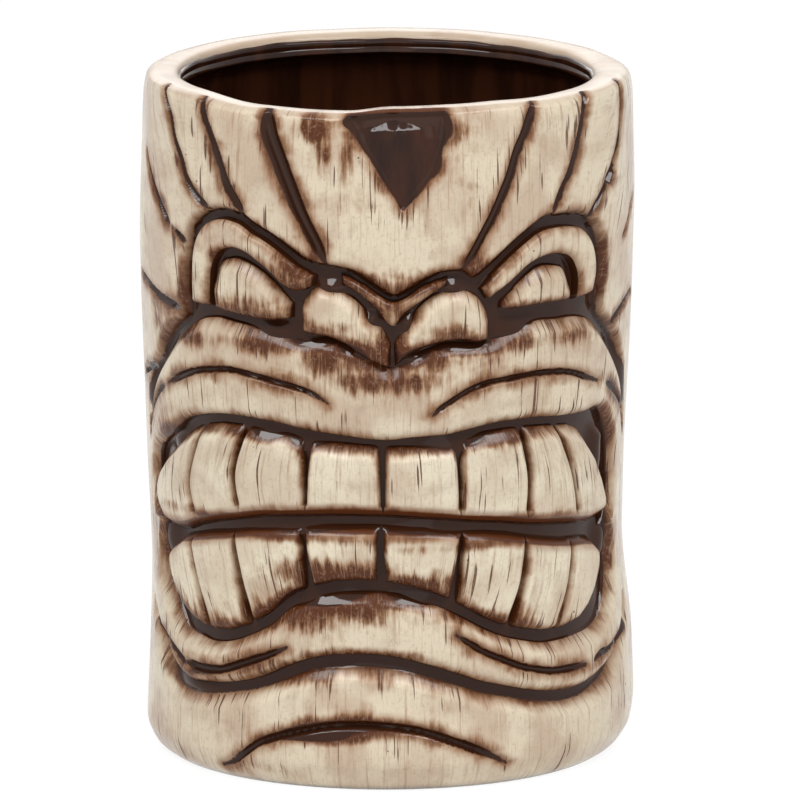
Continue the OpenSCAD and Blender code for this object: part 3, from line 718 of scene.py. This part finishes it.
# %% Ribs of each feature: angle and height on its lower edge, then on its upper edge
RIBS = {
    "brow_left": [
        (-51.9, 89.8, -46, 90.2), (-51.9, 96, -45.6, 94.8), (-51, 101.4, -44.7, 98.2),
        (-47.8, 105.5, -42.3, 100.8), (-42.5, 107.4, -38.8, 101.9), (-37, 107.1, -35, 101.5),
        (-33, 105.5, -31.6, 100.1), (-28.5, 104, -28, 98.1), (-24.2, 101.9, -24.8, 96),
        (-20.3, 99.7, -21, 95.2), (-16.4, 98.3, -16.8, 96.4)],
    "brow_right": [
        (22.6, 95.4, 24.4, 93.4), (25.6, 98, 28.1, 95.2), (30, 101, 31.8, 97.2), (34.6, 103.5, 35, 99),
        (39, 105.3, 38.6, 100.1), (43.5, 105.6, 42, 100.4), (48.5, 105.3, 45.5, 100.1),
        (53, 104.3, 48.5, 99), (57, 100.8, 50.5, 96.6), (58.4, 95.8, 51.3, 94), (56.6, 91, 51.2, 90.8)],
    "eye_left": [
        (-44.5, 90.2, -44.8, 95.4), (-42.4, 89.8, -43, 98.9), (-38.5, 89.5, -38.8, 100.3),
        (-34.5, 89.3, -34.5, 99.7), (-30, 89.1, -30, 98), (-26.5, 89.2, -26, 95.4),
        (-22.6, 90, -22.4, 92.6)],
    "eye_right": [
        (28, 91.6, 28.2, 92.4), (31, 91.2, 31.5, 94.8), (35, 91.2, 35, 97), (39, 91.2, 39, 98.6),
        (43, 91.2, 43, 98.5), (46.5, 91.2, 47, 97.4), (48.7, 91.4, 48.9, 94.6)],
    "nose_bridge": [
        (-10.8, 97.1, -10.8, 98.7), (-8.4, 96.1, -8.4, 98.3), (-5.5, 94.6, -5.5, 97),
        (-2.4, 92.4, -2.2, 95.2), (1.4, 88.9, 1.2, 93.9), (4.6, 91.3, 4.4, 94.3), (8, 93.5, 8, 96.2),
        (11.8, 95.4, 11.6, 97.5), (15, 96.8, 15, 98.1)],
    "nostril_left": [
        (-20.4, 87.8, -20.2, 92.8), (-17.4, 87, -17.4, 96), (-13.5, 86.6, -13.5, 96.4),
        (-9.8, 85.4, -9.7, 95.4), (-6.5, 83.6, -6.5, 93.6), (-3, 82.2, -3.4, 90.8),
        (-0.4, 81.4, -0.5, 88.2), (1.2, 81.2, 1.2, 85.2)],
    "nostril_right": [
        (1.9, 81.3, 1.9, 85.4), (4, 82.6, 4, 88.4), (6.5, 83.9, 6.5, 91.4), (10, 85, 10, 94.2),
        (14, 85.7, 14, 95.7), (18, 85.9, 18, 95.8), (22, 85.2, 22, 94.2), (25.2, 86, 24.9, 90.8)],
    "upper_lip": [
        (-66.8, 45.7, -79.9, 45.7), (-75, 48, -79.9, 51), (-77, 53, -79.9, 58), (-76, 57.5, -79.6, 66),
        (-72, 60.6, -77, 70), (-66.5, 62.6, -72.6, 74), (-61.5, 64.8, -65.5, 79),
        (-56, 67.4, -58.5, 83.4), (-50, 68.8, -51.5, 87), (-44, 69.6, -45, 88.4), (-38, 69.9, -38, 88),
        (-32, 69.8, -32, 87.6), (-26, 69.4, -26, 87), (-20, 68.6, -20, 86), (-14.5, 68.1, -14.5, 86.6),
        (-8.5, 67.7, -8.5, 85.5), (-4, 67.3, -4, 83.1), (1, 67.2, 1, 81.1), (5, 67.5, 5.5, 83.3),
        (10, 67.7, 10.5, 84.9), (15, 67.9, 15, 85.6), (20, 68.6, 20, 85.4), (25, 69.3, 25, 85.6),
        (30, 69.6, 30, 87.2), (38, 69.5, 38, 88.4), (44, 69.1, 45, 88.1), (50.4, 68.7, 52, 87.8),
        (56.6, 68.6, 59, 86), (62.8, 68.6, 65.5, 81.9), (66.6, 65.4, 71, 77.8), (69.6, 61.6, 76.2, 73),
        (70.8, 57.5, 79.4, 67), (70.8, 53, 79.9, 58), (69.6, 48.8, 79.9, 51), (66, 45.7, 79.9, 45.7)],
    "lower_lip": [
        (-79.9, 46.3, -66.8, 46.3), (-79.9, 37, -70, 41), (-79.6, 29.6, -70.5, 35.6),
        (-75, 26.8, -66.3, 32.6), (-68.5, 22.7, -62.5, 29.6), (-62, 18.8, -58, 27),
        (-56, 17.2, -53, 26.3), (-50, 17.6, -48, 25.8), (-44, 18.3, -42, 26.5), (-38, 19.2, -36, 28.3),
        (-32, 20.6, -30, 30.8), (-26, 22.7, -24, 34.8), (-20, 24.6, -18.5, 37), (-13, 25.8, -13, 38),
        (-6, 26.1, -6.5, 38.3), (0, 25.9, 0, 38.1), (6, 25, 6, 37.1), (12, 23.6, 13, 35.4),
        (18, 22, 19, 33), (24, 20.3, 25, 30.4), (30, 19.1, 30.5, 28.5), (36, 17.9, 36, 27.3),
        (42, 16.9, 42, 26.3), (48, 16.4, 48, 26.2), (54, 16.6, 54, 26.5), (60, 17.6, 59.5, 27),
        (66, 19.3, 64.5, 28.8), (72, 22.6, 69, 32.4), (77.4, 26.4, 70.8, 37), (79.9, 33, 69.6, 41.5),
        (79.9, 46.3, 66, 46.3)],
}
SWELL = 0.35  # how far the middle of a feature stands out past its edges, in millimetres
CELL = 0.36  # size of a grid cell
GLAZE_SKIN = 0.1  # how far below the pooled glaze a feature's foot may reach
STATIONS_PER_RIB = 20
STRETCH = 0.009  # share by which a lip's end is drawn out round the side, under the wall
STRETCH_OVER = (1.5, 0.2)  # it starts and ends this many degrees before the side of the face
SINK = 0.6  # how far the end dives there
SINK_OVER = 0.6  # degrees in which it does
FLATTENS = 12  # degrees before the side of the face in which a lip's swell goes down


# %% A feature that follows its ribs
def spread_out(low, high):
    """Moves the two edges of a feature apart, so that its foot reaches into the groove."""
    reach = (high - low) * (DEGREE, 1)
    size = np.maximum(np.hypot(*reach.T), 0.5)[:, None]
    return low - (high - low) * GROW / size, high + (high - low) * GROW / size


def ribbed(name, crown=SWELL, cuts=(), runs_out=False, edges=(LOWER_EDGE, LOWER_EDGE)):
    """A raised feature between its lower and upper edge."""
    stations = np.linspace(0, 1, STATIONS_PER_RIB * len(RIBS[name]))
    low, high = two_edges(RIBS[name], stations)
    lines = low, high
    if runs_out:
        lines = [line[np.abs(line[:, 0]) < FACE_HALF - 2 * GROW] for line in lines]
    wide_low, wide_high = spread_out(low, high)
    steps = np.diff((low + high) / 2, axis=0) * (DEGREE, 1)
    along = np.concatenate([[0], np.cumsum(np.hypot(*steps.T))])
    width = np.hypot(*((high - low) * (DEGREE, 1)).T) + 2 * GROW
    rows = max(int(width.max() / CELL), 8)
    piece = slab("carved_" + name, int(along[-1] / CELL), rows)
    u, v = read_shares(piece.data)
    station = np.interp(u * along[-1], along, stations)
    rims = [np.stack([np.interp(station, stations, edge[:, k]) for k in (0, 1)], -1)
            for edge in (wide_low, wide_high)]
    angle, height = (rims[0] + (rims[1] - rims[0]) * v[:, None]).T
    local_width = np.interp(u * along[-1], along, width)
    inside = np.abs(v - 0.5) * local_width < local_width / 2 - GROW
    drops, inwards = [], []
    for line, shape in zip(lines, edges):
        away, _ = line_distance(angle, height, line)
        inwards.append(np.where(inside, away, -away))
        drops.append(edge_drop(inwards[-1], **shape))
    inward, drop, sink = np.minimum(*inwards), np.maximum(*drops), 0
    if runs_out:
        start, stop = [FACE_HALF - before for before in STRETCH_OVER]
        angle = angle * (1 + STRETCH * ramp(np.abs(angle), start, stop))
        sink = SINK * ramp(np.abs(angle), FACE_HALF, FACE_HALF + SINK_OVER)
        crown = crown * (1 - ramp(np.abs(angle), FACE_HALF - FLATTENS, FACE_HALF))
    else:
        ends = [np.array([low[k], high[k]]) for k in (0, -1)]
        end = np.minimum(*[line_distance(angle, height, line)[0] for line in ends])
        drop = np.maximum(drop, edge_drop(end - GROW, **LOWER_EDGE))
        inward = np.minimum(inward, end - GROW)
    cut_depth, cut_glaze = cut(angle, height, cuts)
    rise = crown * (1 - (2 * v - 1) ** 2) - drop - cut_depth - sink
    rise = np.maximum(rise, -POOL_DEPTH - GLAZE_SKIN) - uneven(angle, height)
    notes = clay_notes(angle, height, np.minimum(cut_glaze, inward))
    raise_from_seat(piece, angle, height, rise, notes)
    finish_clay(piece, [name], "washed_glaze")


def raise_from_seat(piece, angle, height, rise, notes, seat_depth=CARVE_DEPTH):
    """Seats a slab at the bottom of the carving and extrudes it to its carved face."""
    radius = wall(height) + warp(angle, height)
    seat = around(angle, height, radius - seat_depth)
    put(piece.data, seat)
    for label, values in notes.items():
        note(piece.data, label, values)
    order = np.arange(len(angle))
    piece.data.attributes.new("order", "FLOAT", "POINT").data.foreach_set("value", order)
    face = thicken(piece)
    order = np.empty(len(piece.data.vertices))
    piece.data.attributes["order"].data.foreach_get("value", order)
    order = order.astype(int)
    places = mesh_places(piece.data) * MM
    carved = around(angle, height, radius + rise)
    places[face] = carved[order[face]]
    places[~face] = seat[order[~face]]
    put(piece.data, places)
    piece.data.attributes.remove(piece.data.attributes["order"])


for name in ("brow_left", "brow_right"):
    ribbed(name)
for name in ("eye_left", "eye_right", "nostril_left", "nostril_right"):
    ribbed(name, edges=(LOWER_EDGE, UPPER_EDGE))
ribbed("nose_bridge", crown=0)
for name, cuts in (("upper_lip", UPPER_LIP_CUTS), ("lower_lip", LOWER_LIP_CUTS)):
    ribbed(name, cuts=cuts, runs_out=True, edges=(LIP_EDGE, UPPER_EDGE))


# %% [markdown]
# ## The teeth
#
# Two rows of eight. Each tooth lies between two cut lines of its row, and those lines lean
# outward towards the corners of the mouth. Where the upper teeth end, the cuts are left short, so
# the row keeps one unbroken lower edge.

# %% Rows of teeth: both edges, the cut lines between the teeth and the width of each line
# A line is its angle at the bottom, half way up and at the top.
TOOTH_ROWS = {
    "upper_tooth": dict(
        low=[[-73.6, 50.9], [-71.5, 48.2], [-68.5, 46.5], [-64, 46.6], [-59, 47.3], [-53.6, 48.8],
             [-46.5, 50.3], [-38.3, 51.6], [-32, 52.6], [-23.4, 53.3], [-15, 53.9], [-8.5, 54.1],
             [0, 54], [6, 53.7], [14, 53.1], [22, 52.3], [30, 51.6], [38, 50.5], [46, 49.7],
             [54.5, 48.8], [60.7, 48.2], [67.4, 48.8]],
        high=[[-73.6, 53], [-72.2, 55.4], [-70.2, 57.6], [-66.5, 60], [-62.5, 61.9], [-58, 64.2],
              [-54, 65.8], [-50, 66.9], [-44, 67.8], [-38, 68], [-32, 67.9], [-26, 67.6],
              [-20, 67], [-14, 66.5], [-8, 66.1], [0, 65.7], [9, 66], [17, 66.2], [20, 67],
              [25, 67.7], [30, 67.9], [37, 67.8], [44, 67.4], [50.4, 66.8], [55, 65.4],
              [60, 61.6], [63.8, 57], [66, 53.6], [67.4, 51]],
        lines=[[-73.7, -73.7, -73.7], [-53.2, -55.6, -50.6], [-37.8, -39.6, -36.2],
               [-20, -19.8, -19.2], [-0.7, -0.8, -1], [18.4, 18.2, 17.6], [36.6, 37, 34.8],
               [54.6, 51.4, 46], [67.4, 67.4, 67.4]],
        gaps=[0, 0.4, 0.8, 1.0, 1.3, 1.0, 0.9, 0.5, 0]),
    "lower_tooth": dict(
        low=[[-66.4, 38], [-64.4, 35.4], [-62.4, 33.2], [-59, 30.9], [-54.4, 29.1], [-48.6, 28.2],
             [-42.4, 28.8], [-37, 30.2], [-31, 32.8], [-27.5, 34.9], [-23.4, 37.3], [-18.5, 39],
             [-13, 40.2], [-6.8, 40.6], [-0.6, 40.4], [5.6, 39.5], [11.8, 38], [16, 36.6],
             [20.5, 34.7], [25.4, 32.5], [30, 31], [36, 29.7], [42, 28.8], [48.3, 28.6],
             [54, 29.4], [57.5, 31], [60.4, 33.4], [62.6, 36.2], [64.4, 39.4]],
        high=[[-66.4, 40], [-64.4, 41.5], [-60, 43.3], [-54.8, 44.3], [-50, 45.2], [-41.6, 46.3],
              [-35, 47.4], [-28, 48.4], [-15, 49.3], [-2.7, 49.4], [9.7, 49.1], [18, 48.1],
              [25, 47.5], [32, 46.6], [38, 45.5], [44, 44.6], [50.4, 43.7], [57.4, 43.2],
              [61.5, 42.6], [64.4, 41]],
        lines=[[-66.5, -66.5, -66.5], [-48.6, -53.6, -57], [-35.6, -38.4, -40.7],
               [-19.2, -20.2, -20.8], [-1, -1.4, -1.2], [16.8, 18, 19], [31.8, 35.4, 36.9],
               [46.2, 50.8, 52.8], [64.5, 64.5, 64.5]],
        gaps=[0, 0.6, 1.3, 1.6, 2.0, 1.6, 1.2, 0.8, 0]),
}


# %% One tooth
TOOTH_SIDE = 1.2  # how far a tooth rounds over beside a cut line
TOOTH_SIDE_DROP = 1.6
TOOTH_TALL = 17  # millimetres, for the count of rows
# Where a cut line fades out near the mouth, as shares of the tooth's height
FADE_OUT = {"upper_tooth": (0.05, 0.2), "lower_tooth": (0.0, 0.12)}
NARROW_END = 0.55  # width of a cut line at the mouth, as a share of its width at the lip
BOTH_DROPS = 0.3  # share of the smaller drop that adds to the larger one at a tooth's corners
MOUTH_CREAM = 0.8  # pooled glaze starts this far past a tooth's edge at the mouth
MOUTH_STAIN = 1.1  # strength of the brown along that edge
UNCUT = 3  # beside a cut line that has faded out the glaze is this much further off


def tooth(row_name, number):
    """A tooth of a row, counted from its left end."""
    row = TOOTH_ROWS[row_name]
    low, high = np.array(row["low"], float), np.array(row["high"], float)
    left, right = row["lines"][number - 1:number + 1]
    left_gap, right_gap = [gap / DEGREE / 2 for gap in row["gaps"][number - 1:number + 1]]
    columns = int((right[1] - left[1]) * DEGREE / CELL)
    name = f"{row_name}_{number}"
    piece = slab("carved_" + name, columns, int(TOOTH_TALL / CELL))
    u, v = read_shares(piece.data)
    upper = row_name == "upper_tooth"
    low_reach, high_reach = (MOUTH_EDGE["reach"], GROW) if upper else (GROW, MOUTH_EDGE["reach"])

    def line_at(line, v):
        return smooth_curve(np.array(line)[:, None], v)[..., 0]

    def opened(v):
        from_mouth = v if upper else 1 - v
        width = NARROW_END + (1 - NARROW_END) * from_mouth
        return ramp(from_mouth, *FADE_OUT[row_name]) * width

    def place(u, v):
        a = line_at(left, v) + left_gap * opened(v)
        b = line_at(right, v) - right_gap * opened(v)
        angle = a + (b - a) * u
        bottom = np.interp(angle, *low.T) - low_reach
        top = np.interp(angle, *high.T) + high_reach
        return angle, bottom + (top - bottom) * v

    angle, height = place(u, v)
    share = np.linspace(0, 1, 60)
    sides = [np.stack(place(np.full(60, s), share), -1) for s in (0.0, 1.0)]
    beside = np.minimum(*[line_distance(angle, height, line)[0] for line in sides])
    below, above = height - np.interp(angle, *low.T), np.interp(angle, *high.T) - height
    mouth_side, lip_side = (below, above) if upper else (above, below)
    lip_edge = UPPER_EDGE if upper else LOWER_EDGE
    drop = np.maximum(edge_drop(mouth_side, **MOUTH_EDGE), edge_drop(lip_side, **lip_edge))
    side_drop = TOOTH_SIDE_DROP * (1 - np.clip(beside / TOOTH_SIDE, 0, 1)) ** 2 * opened(v)
    rise = SWELL * (1 - (2 * v - 1) ** 2)
    rise -= np.maximum(drop, side_drop) + BOTH_DROPS * np.minimum(drop, side_drop)
    rise = np.maximum(rise, -POOL_DEPTH - GLAZE_SKIN) - uneven(angle, height)
    uncut = UNCUT * (1 - ramp(opened(v), 0.3, 0.6))
    glaze = np.minimum.reduce([mouth_side + MOUTH_CREAM, lip_side, 2 * beside + uncut])
    notes = clay_notes(angle, height, glaze)
    notes["stain"] = np.maximum(notes["stain"], MOUTH_STAIN * ramp(0.3 - mouth_side, 0, 0.8))
    # Fewer brush strokes towards the mouth, and painted shade: the tooth is painted darker there.
    notes["brush_and_shade"] = ramp(mouth_side, -0.5, 2.5)
    middle = (left[1] + right[1]) / 2 + (u - 0.5) * (right[1] - left[1])
    notes["grain"] = around(middle, height, BELLY) / MM
    raise_from_seat(piece, angle, height, rise, notes)
    finish_clay(piece, [name], "tooth_glaze")


for row_name in TOOTH_ROWS:
    for number in range(1, 9):
        tooth(row_name, number)


# %% [markdown]
# ## The poured glazes
#
# The inside of the cup is lined with dark glaze, which climbs over the collar to just below the
# rim. More of it is pooled in the triangle on the forehead, drawn up at its edges, as a wet glaze
# sits, with one broad drip below the rim.

# %% Dark glaze inside the cup
LINER_THICKNESS = 0.5
LINER_WANDER = 0.3  # how far its upper edge wanders up and down


def liner_profile():
    """Rows of the liner: under the floor out to the wall, up to the collar, and back inside."""
    low = FLOOR + CORNER
    centre = wall(low) - WALL_THICKNESS - CORNER
    skin = [[0, FLOOR], [centre / 2, FLOOR]]
    skin += [[centre + CORNER * math.sin(a), low - CORNER * math.cos(a)]
             for a in np.linspace(0, 1.57, 8)]
    skin += [[wall(z) - WALL_THICKNESS, z] for z in np.linspace(low + 8, HEIGHT - COLLAR - 3, 12)]
    skin += [[MOUTH + 1, HEIGHT - COLLAR - 1], [MOUTH + 0.2, HEIGHT - COLLAR - 0.6],
             [MOUTH - 0.3, HEIGHT - COLLAR - 0.2], [MOUTH - 0.25, HEIGHT - COLLAR + 0.1],
             [MOUTH + 0.12, HEIGHT - COLLAR + 0.5], [MOUTH + 0.1, HEIGHT - COLLAR + 0.8],
             [MOUTH, HEIGHT - 1.6], [MOUTH + 0.02, HEIGHT - 1.3], [MOUTH + 0.1, HEIGHT - 0.95]]
    skin = np.array(skin)
    slope = np.gradient(skin, axis=0)
    inward = np.stack([-slope[:, 1], slope[:, 0]], -1)
    inward /= np.hypot(*inward.T)[:, None]
    thinning = np.append(np.ones(len(skin) - 2), [0.7, 0.15])
    over = skin + inward * LINER_THICKNESS * thinning[:, None]
    over[0, 0] = 0
    return np.concatenate([skin, over[::-1]])


profile = liner_profile()
liner, angle, row = turned("poured_liner", profile, np.linspace(-180, 180, 181))
radius, height = profile[row].T
wander = sum(np.sin(np.radians(angle) * waves + waves) for waves in (3, 7, 11, 19, 31)) / 5
height = height + ramp(height, HEIGHT - 2, HEIGHT - 0.6) * LINER_WANDER * (wander - 1)
put(liner.data, around(angle, sagged(angle, height), radius))
finish_clay(liner, ["liner_glaze"], "dark_glaze")


# %% Glaze pooled in the forehead triangle
POOL_THICKNESS = 0.4
DRAWN_UP = 0.7  # how far the glaze climbs at its edge
DRAWN_REACH = 1.2  # in how much of its width
BROAD_RUNS, THIN_RUNS = 0.05, 0.02  # size of the waves in its face
DRIP_MIDDLE = 2.2  # degrees
DRIP_BELOW = 1.1  # the drip starts this far below the rim
DRIP_TALL = 2.9  # height of its upper face
DRIP_SLOPE = 0.43  # of that face, which looks up to the softboxes
DRIP_SIDE = 0.22  # slope to its two sides


def pool():
    """Thick glaze in the forehead triangle: it draws up at the clay and hangs in one broad drip."""
    stations = np.linspace(0, 1, 100)
    edges = two_edges(TRIANGLE, stations)
    piece = slab("poured_triangle", 60, 64)
    u, v = read_shares(piece.data)
    edges = [np.stack([np.interp(v, stations, edge[:, k]) for k in (0, 1)], -1) for edge in edges]
    angle, height = (edges[0] + (edges[1] - edges[0]) * u[:, None]).T
    away = np.maximum(inward_from(angle, height, triangle_outline()), 0)
    runs = BROAD_RUNS * np.sin(angle * 1.3 + np.sin(height * 0.5))
    runs += THIN_RUNS * np.sin(angle * 3.1)
    drip = DRIP_SLOPE * np.clip(HEIGHT - DRIP_BELOW - height, 0, DRIP_TALL)
    drip -= DRIP_SIDE * DEGREE * np.abs(angle - DRIP_MIDDLE)
    bulge = np.maximum(drip, 0) * ramp(height, HEIGHT - 9, HEIGHT - 3.8)
    edge = DRAWN_UP * (1 - np.clip(away / DRAWN_REACH, 0, 1)) ** 2
    rise = -TRIANGLE_DEPTH + POOL_THICKNESS + edge + (runs + bulge) * ramp(away, 0, 2)
    rise -= uneven(angle, height) + ramp(height, HEIGHT - 6, HEIGHT)
    seat_depth = 2 * TRIANGLE_DEPTH
    raise_from_seat(piece, angle, sagged(angle, height), rise, {}, seat_depth)
    finish_clay(piece, ["forehead_glaze"], "dark_glaze")


pool()


# %% [markdown]
# ## Glazes
#
# One recipe makes the cream glaze of the body and the paler one of the teeth. It reads the
# distance to the nearest pooled groove, kept at every vertex, and pushes that edge about with
# long thin noise that follows the brush strokes. What lies inside is dark glaze, then a red brown
# where it thins, then cream. Thin dark strokes are cut into it, with a few pinholes between them.

# %% Ramps, noise and mixes of colour
def between(tree, value, low, high, to_low=0.0, to_high=1.0):
    """A smooth ramp of a value from one range to another."""
    return add(tree, "ShaderNodeMapRange", {"Value": value, "From Min": low, "From Max": high,
               "To Min": to_low, "To Max": to_high}, interpolation_type="SMOOTHSTEP").outputs[0]


def noise(tree, place, scale, detail, roughness=0.5, distortion=0.0):
    """Cloudy noise, with so many waves per millimetre."""
    return add(tree, "ShaderNodeTexNoise", {"Vector": place, "Scale": scale, "Detail": detail,
               "Roughness": roughness, "Distortion": distortion}).outputs["Fac"]


def strokes(tree, grain, across, along, detail=3.0, offset=0.0):
    """Noise drawn out along the brush strokes: so many waves per millimetre across and along."""
    drawn = add(tree, "ShaderNodeMapping", {"Vector": grain, "Scale": (across, across, along),
                "Location": (offset, offset * 0.7, 0)})
    return noise(tree, drawn.outputs[0], 1.0, detail, roughness=0.6)


def blend(tree, share, first, second):
    """A mix of two colours."""
    mixed = add(tree, "ShaderNodeMix", {"Factor": share}, data_type="RGBA")
    for socket, value in ((mixed.inputs[6], first), (mixed.inputs[7], second)):
        if isinstance(value, bpy.types.NodeSocket):
            tree.links.new(value, socket)
        else:
            socket.default_value = (*value, 1)
    return mixed.outputs[2]


GLAZE_IOR = 1.3


def new_glaze(name):
    """An empty glossy material, its node tree and its shader."""
    material = bpy.data.materials.new(name)
    material.use_nodes = True
    tree = material.node_tree
    shader = tree.nodes["Principled BSDF"]
    shader.inputs["IOR"].default_value = GLAZE_IOR
    return material, tree, shader


# %% The washed cream glaze
POOLED = (0.036, 0.011, 0.004)
DEEP_BROWN = (0.085, 0.024, 0.007)
RED_BROWN = (0.27, 0.12, 0.045)
TAN = (0.38, 0.25, 0.16)
# The next colour is that of the cloudy smears, and also the painted shade on the rim and at the mouth
# edge of the teeth.
SMEAR_AND_SHADE = (0.42, 0.31, 0.23)


def vertex_note(tree, label):
    """A number or vector that the modelling kept at every vertex."""
    return add(tree, "ShaderNodeAttribute", attribute_name=label)


def washed_glaze(name, cream, shade):
    """Cream glaze with brown in its cuts, softly stained and nicked along the brush strokes."""
    material, tree, shader = new_glaze(name)
    grain = vertex_note(tree, "grain").outputs["Vector"]
    distance, stained, brushed_and_shaded = [vertex_note(tree, label).outputs["Fac"]
                                  for label in ("glaze_distance", "stain", "brush_and_shade")]

    # cream: cloudy, with smears and faint brush strokes, which thin out on the wiped rim; the rim and the
    # mouth edge of the teeth also get painted shade
    cloud = noise(tree, grain, 0.09, 4.0)
    clay = blend(tree, between(tree, cloud, 0.40, 0.62), cream, shade)
    smear = noise(tree, grain, 0.11, 5.0, roughness=0.6, distortion=0.6)
    clay = blend(tree, between(tree, smear, 0.52, 0.72, 0.0, 0.55), clay, SMEAR_AND_SHADE)
    fibre = strokes(tree, grain, 1.2, 0.07, detail=5.0, offset=77)
    faint = maths(tree, "MULTIPLY", between(tree, fibre, 0.52, 0.74, 0.0, 0.75), brushed_and_shaded)
    clay = blend(tree, faint, clay, TAN)
    # painted shade: darker cream where the brush share is low, on the rim and at the mouth edge of the
    # teeth
    clay = blend(tree, between(tree, brushed_and_shaded, 0.2, 0.9, 0.65, 0.0), clay, SMEAR_AND_SHADE)

    # brown that bleeds from the grooves, in patches and runs
    run = strokes(tree, grain, 0.9, 0.16, detail=4.0)
    run = maths(tree, "MULTIPLY_ADD", maths(tree, "SUBTRACT", run, 0.5), brushed_and_shaded, 0.5)
    patch = noise(tree, grain, 0.18, 3.0, distortion=0.4)
    reach = between(tree, patch, 0.40, 0.64, 0.2, 1.2)
    reach = maths(tree, "MULTIPLY_ADD", stained, 3.2, reach)
    reach = maths(tree, "MULTIPLY", reach, between(tree, run, 0.3, 0.7, 0.6, 1.25))
    torn = strokes(tree, grain, 2.2, 0.5, detail=4.0, offset=31)
    near_by = maths(tree, "MINIMUM", distance, 2.4)
    ragged = maths(tree, "MULTIPLY_ADD", torn, 0.8, near_by)
    bled = maths(tree, "SUBTRACT", ragged, maths(tree, "ADD", reach, 0.4))
    colour = blend(tree, between(tree, bled, -0.8, 1.6, 0.88, 0.0), clay, RED_BROWN)
    colour = blend(tree, between(tree, bled, -1.8, 0.4, 1.0, 0.0), colour, DEEP_BROWN)

    # dark glaze that fills the grooves, up to a wavy edge
    wavy = maths(tree, "MULTIPLY", maths(tree, "SUBTRACT", run, 0.5), 0.9)
    edge = maths(tree, "ADD", maths(tree, "ADD", distance, wavy), 0.25)
    colour = blend(tree, between(tree, edge, 0.0, 0.25), POOLED, colour)

    # dark nicks along the strokes, crowded in some places
    bare = maths(tree, "MULTIPLY", between(tree, edge, 0.1, 0.6), brushed_and_shaded)
    nick = strokes(tree, grain, 1.5, 0.075, detail=1.5, offset=13)
    crowd = noise(tree, grain, 0.10, 1.0)
    near = between(tree, bled, 0.0, 3.0, 0.07, 0.0)
    keen = maths(tree, "ADD", maths(tree, "MULTIPLY_ADD", crowd, 0.34, nick), near)
    scratch = maths(tree, "MULTIPLY", between(tree, keen, 0.865, 0.925), bare)
    colour = blend(tree, maths(tree, "MULTIPLY", scratch, 0.9), colour, DEEP_BROWN)

    # hair strokes, specks and a few pinholes
    hair = strokes(tree, grain, 4.0, 0.2, detail=2.0, offset=53)
    speck = noise(tree, grain, 1.4, 5.0, roughness=0.7)
    for mark, low, high in ((hair, 0.56, 0.76), (speck, 0.5, 0.75)):
        share = maths(tree, "MULTIPLY", between(tree, mark, low, high, 0.0, 0.5), bare)
        colour = blend(tree, share, colour, TAN)
    pits = add(tree, "ShaderNodeTexVoronoi", {"Vector": grain, "Scale": 0.2}).outputs["Distance"]
    pit = between(tree, pits, 0.03, 0.06, 0.8, 0.0)
    pit = maths(tree, "MULTIPLY", pit, between(tree, crowd, 0.54, 0.6))
    colour = blend(tree, maths(tree, "MULTIPLY", pit, bare), colour, DEEP_BROWN)
    tree.links.new(colour, shader.inputs["Base Color"])

    # the glaze is smoothest where it is thick, and the strokes show in its surface elsewhere
    tree.links.new(between(tree, edge, -0.2, 0.8, 0.05, 0.2), shader.inputs["Roughness"])
    marks = maths(tree, "MULTIPLY_ADD", scratch, -0.8, maths(tree, "MULTIPLY", fibre, 0.35))
    marks = maths(tree, "MULTIPLY", marks, between(tree, edge, 0.0, 0.8, 0.1, 1.0))
    bump = add(tree, "ShaderNodeBump", {"Height": marks, "Strength": 0.5, "Distance": 0.00025})
    tree.links.new(bump.outputs[0], shader.inputs["Normal"])
    return material


body_glaze = washed_glaze("washed_glaze", (0.67, 0.58, 0.44), (0.54, 0.425, 0.315))
tooth_glaze = washed_glaze("tooth_glaze", (0.71, 0.635, 0.49), (0.61, 0.51, 0.385))


# %% The dark poured glaze
THICK_GLAZE = (0.021, 0.007, 0.0035)
THIN_GLAZE = (0.046, 0.014, 0.006)


def poured_glaze(name):
    """Dark brown glaze, thick and glossy, redder where it runs thin."""
    material, tree, shader = new_glaze(name)
    place = add(tree, "ShaderNodeTexCoord").outputs["Object"]
    runs = add(tree, "ShaderNodeMapping", {"Vector": place, "Scale": (260, 260, 45)})
    run = noise(tree, runs.outputs[0], 1.0, 3.0)
    colour = blend(tree, between(tree, run, 0.35, 0.7), THICK_GLAZE, THIN_GLAZE)
    tree.links.new(colour, shader.inputs["Base Color"])
    tree.links.new(between(tree, run, 0.3, 0.7, 0.05, 0.11), shader.inputs["Roughness"])
    bump = add(tree, "ShaderNodeBump", {"Height": run, "Strength": 0.25, "Distance": 0.0003})
    tree.links.new(bump.outputs[0], shader.inputs["Normal"])
    return material


GLAZES = {"washed_glaze": body_glaze, "tooth_glaze": tooth_glaze,
          "dark_glaze": poured_glaze("dark_glaze")}
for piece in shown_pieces():
    if "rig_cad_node" not in piece:
        piece.data.materials.clear()
        piece.data.materials.append(GLAZES[piece["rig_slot"]])

# %% [markdown]
# ## Floor
#
# A white sweep that keeps the soft shadow of the foot.

# %% White floor
PAPER_GLOW = 0.88  # share of plain white in what is seen; the rest keeps the shadow
paper = bpy.data.materials.new("white_paper")
paper.use_nodes = True
tree = paper.node_tree
sweep = tree.nodes["Principled BSDF"]
sweep.inputs["Base Color"].default_value = (0.86, 0.86, 0.86, 1)
sweep.inputs["Roughness"].default_value = 0.6
lit_white = add(tree, "ShaderNodeEmission", {"Strength": 1.05})
glow = maths(tree, "MULTIPLY", seen_directly(tree), PAPER_GLOW)
shown = add(tree, "ShaderNodeMixShader", {"Fac": glow})
tree.links.new(sweep.outputs[0], shown.inputs[1])
tree.links.new(lit_white.outputs[0], shown.inputs[2])
tree.links.new(shown.outputs[0], tree.nodes["Material Output"].inputs["Surface"])
floor.data.materials.append(paper)

# %% Print the frame's box
print("frame box", [[round(x / MM, 2) for x in corner] for corner in cad_box])
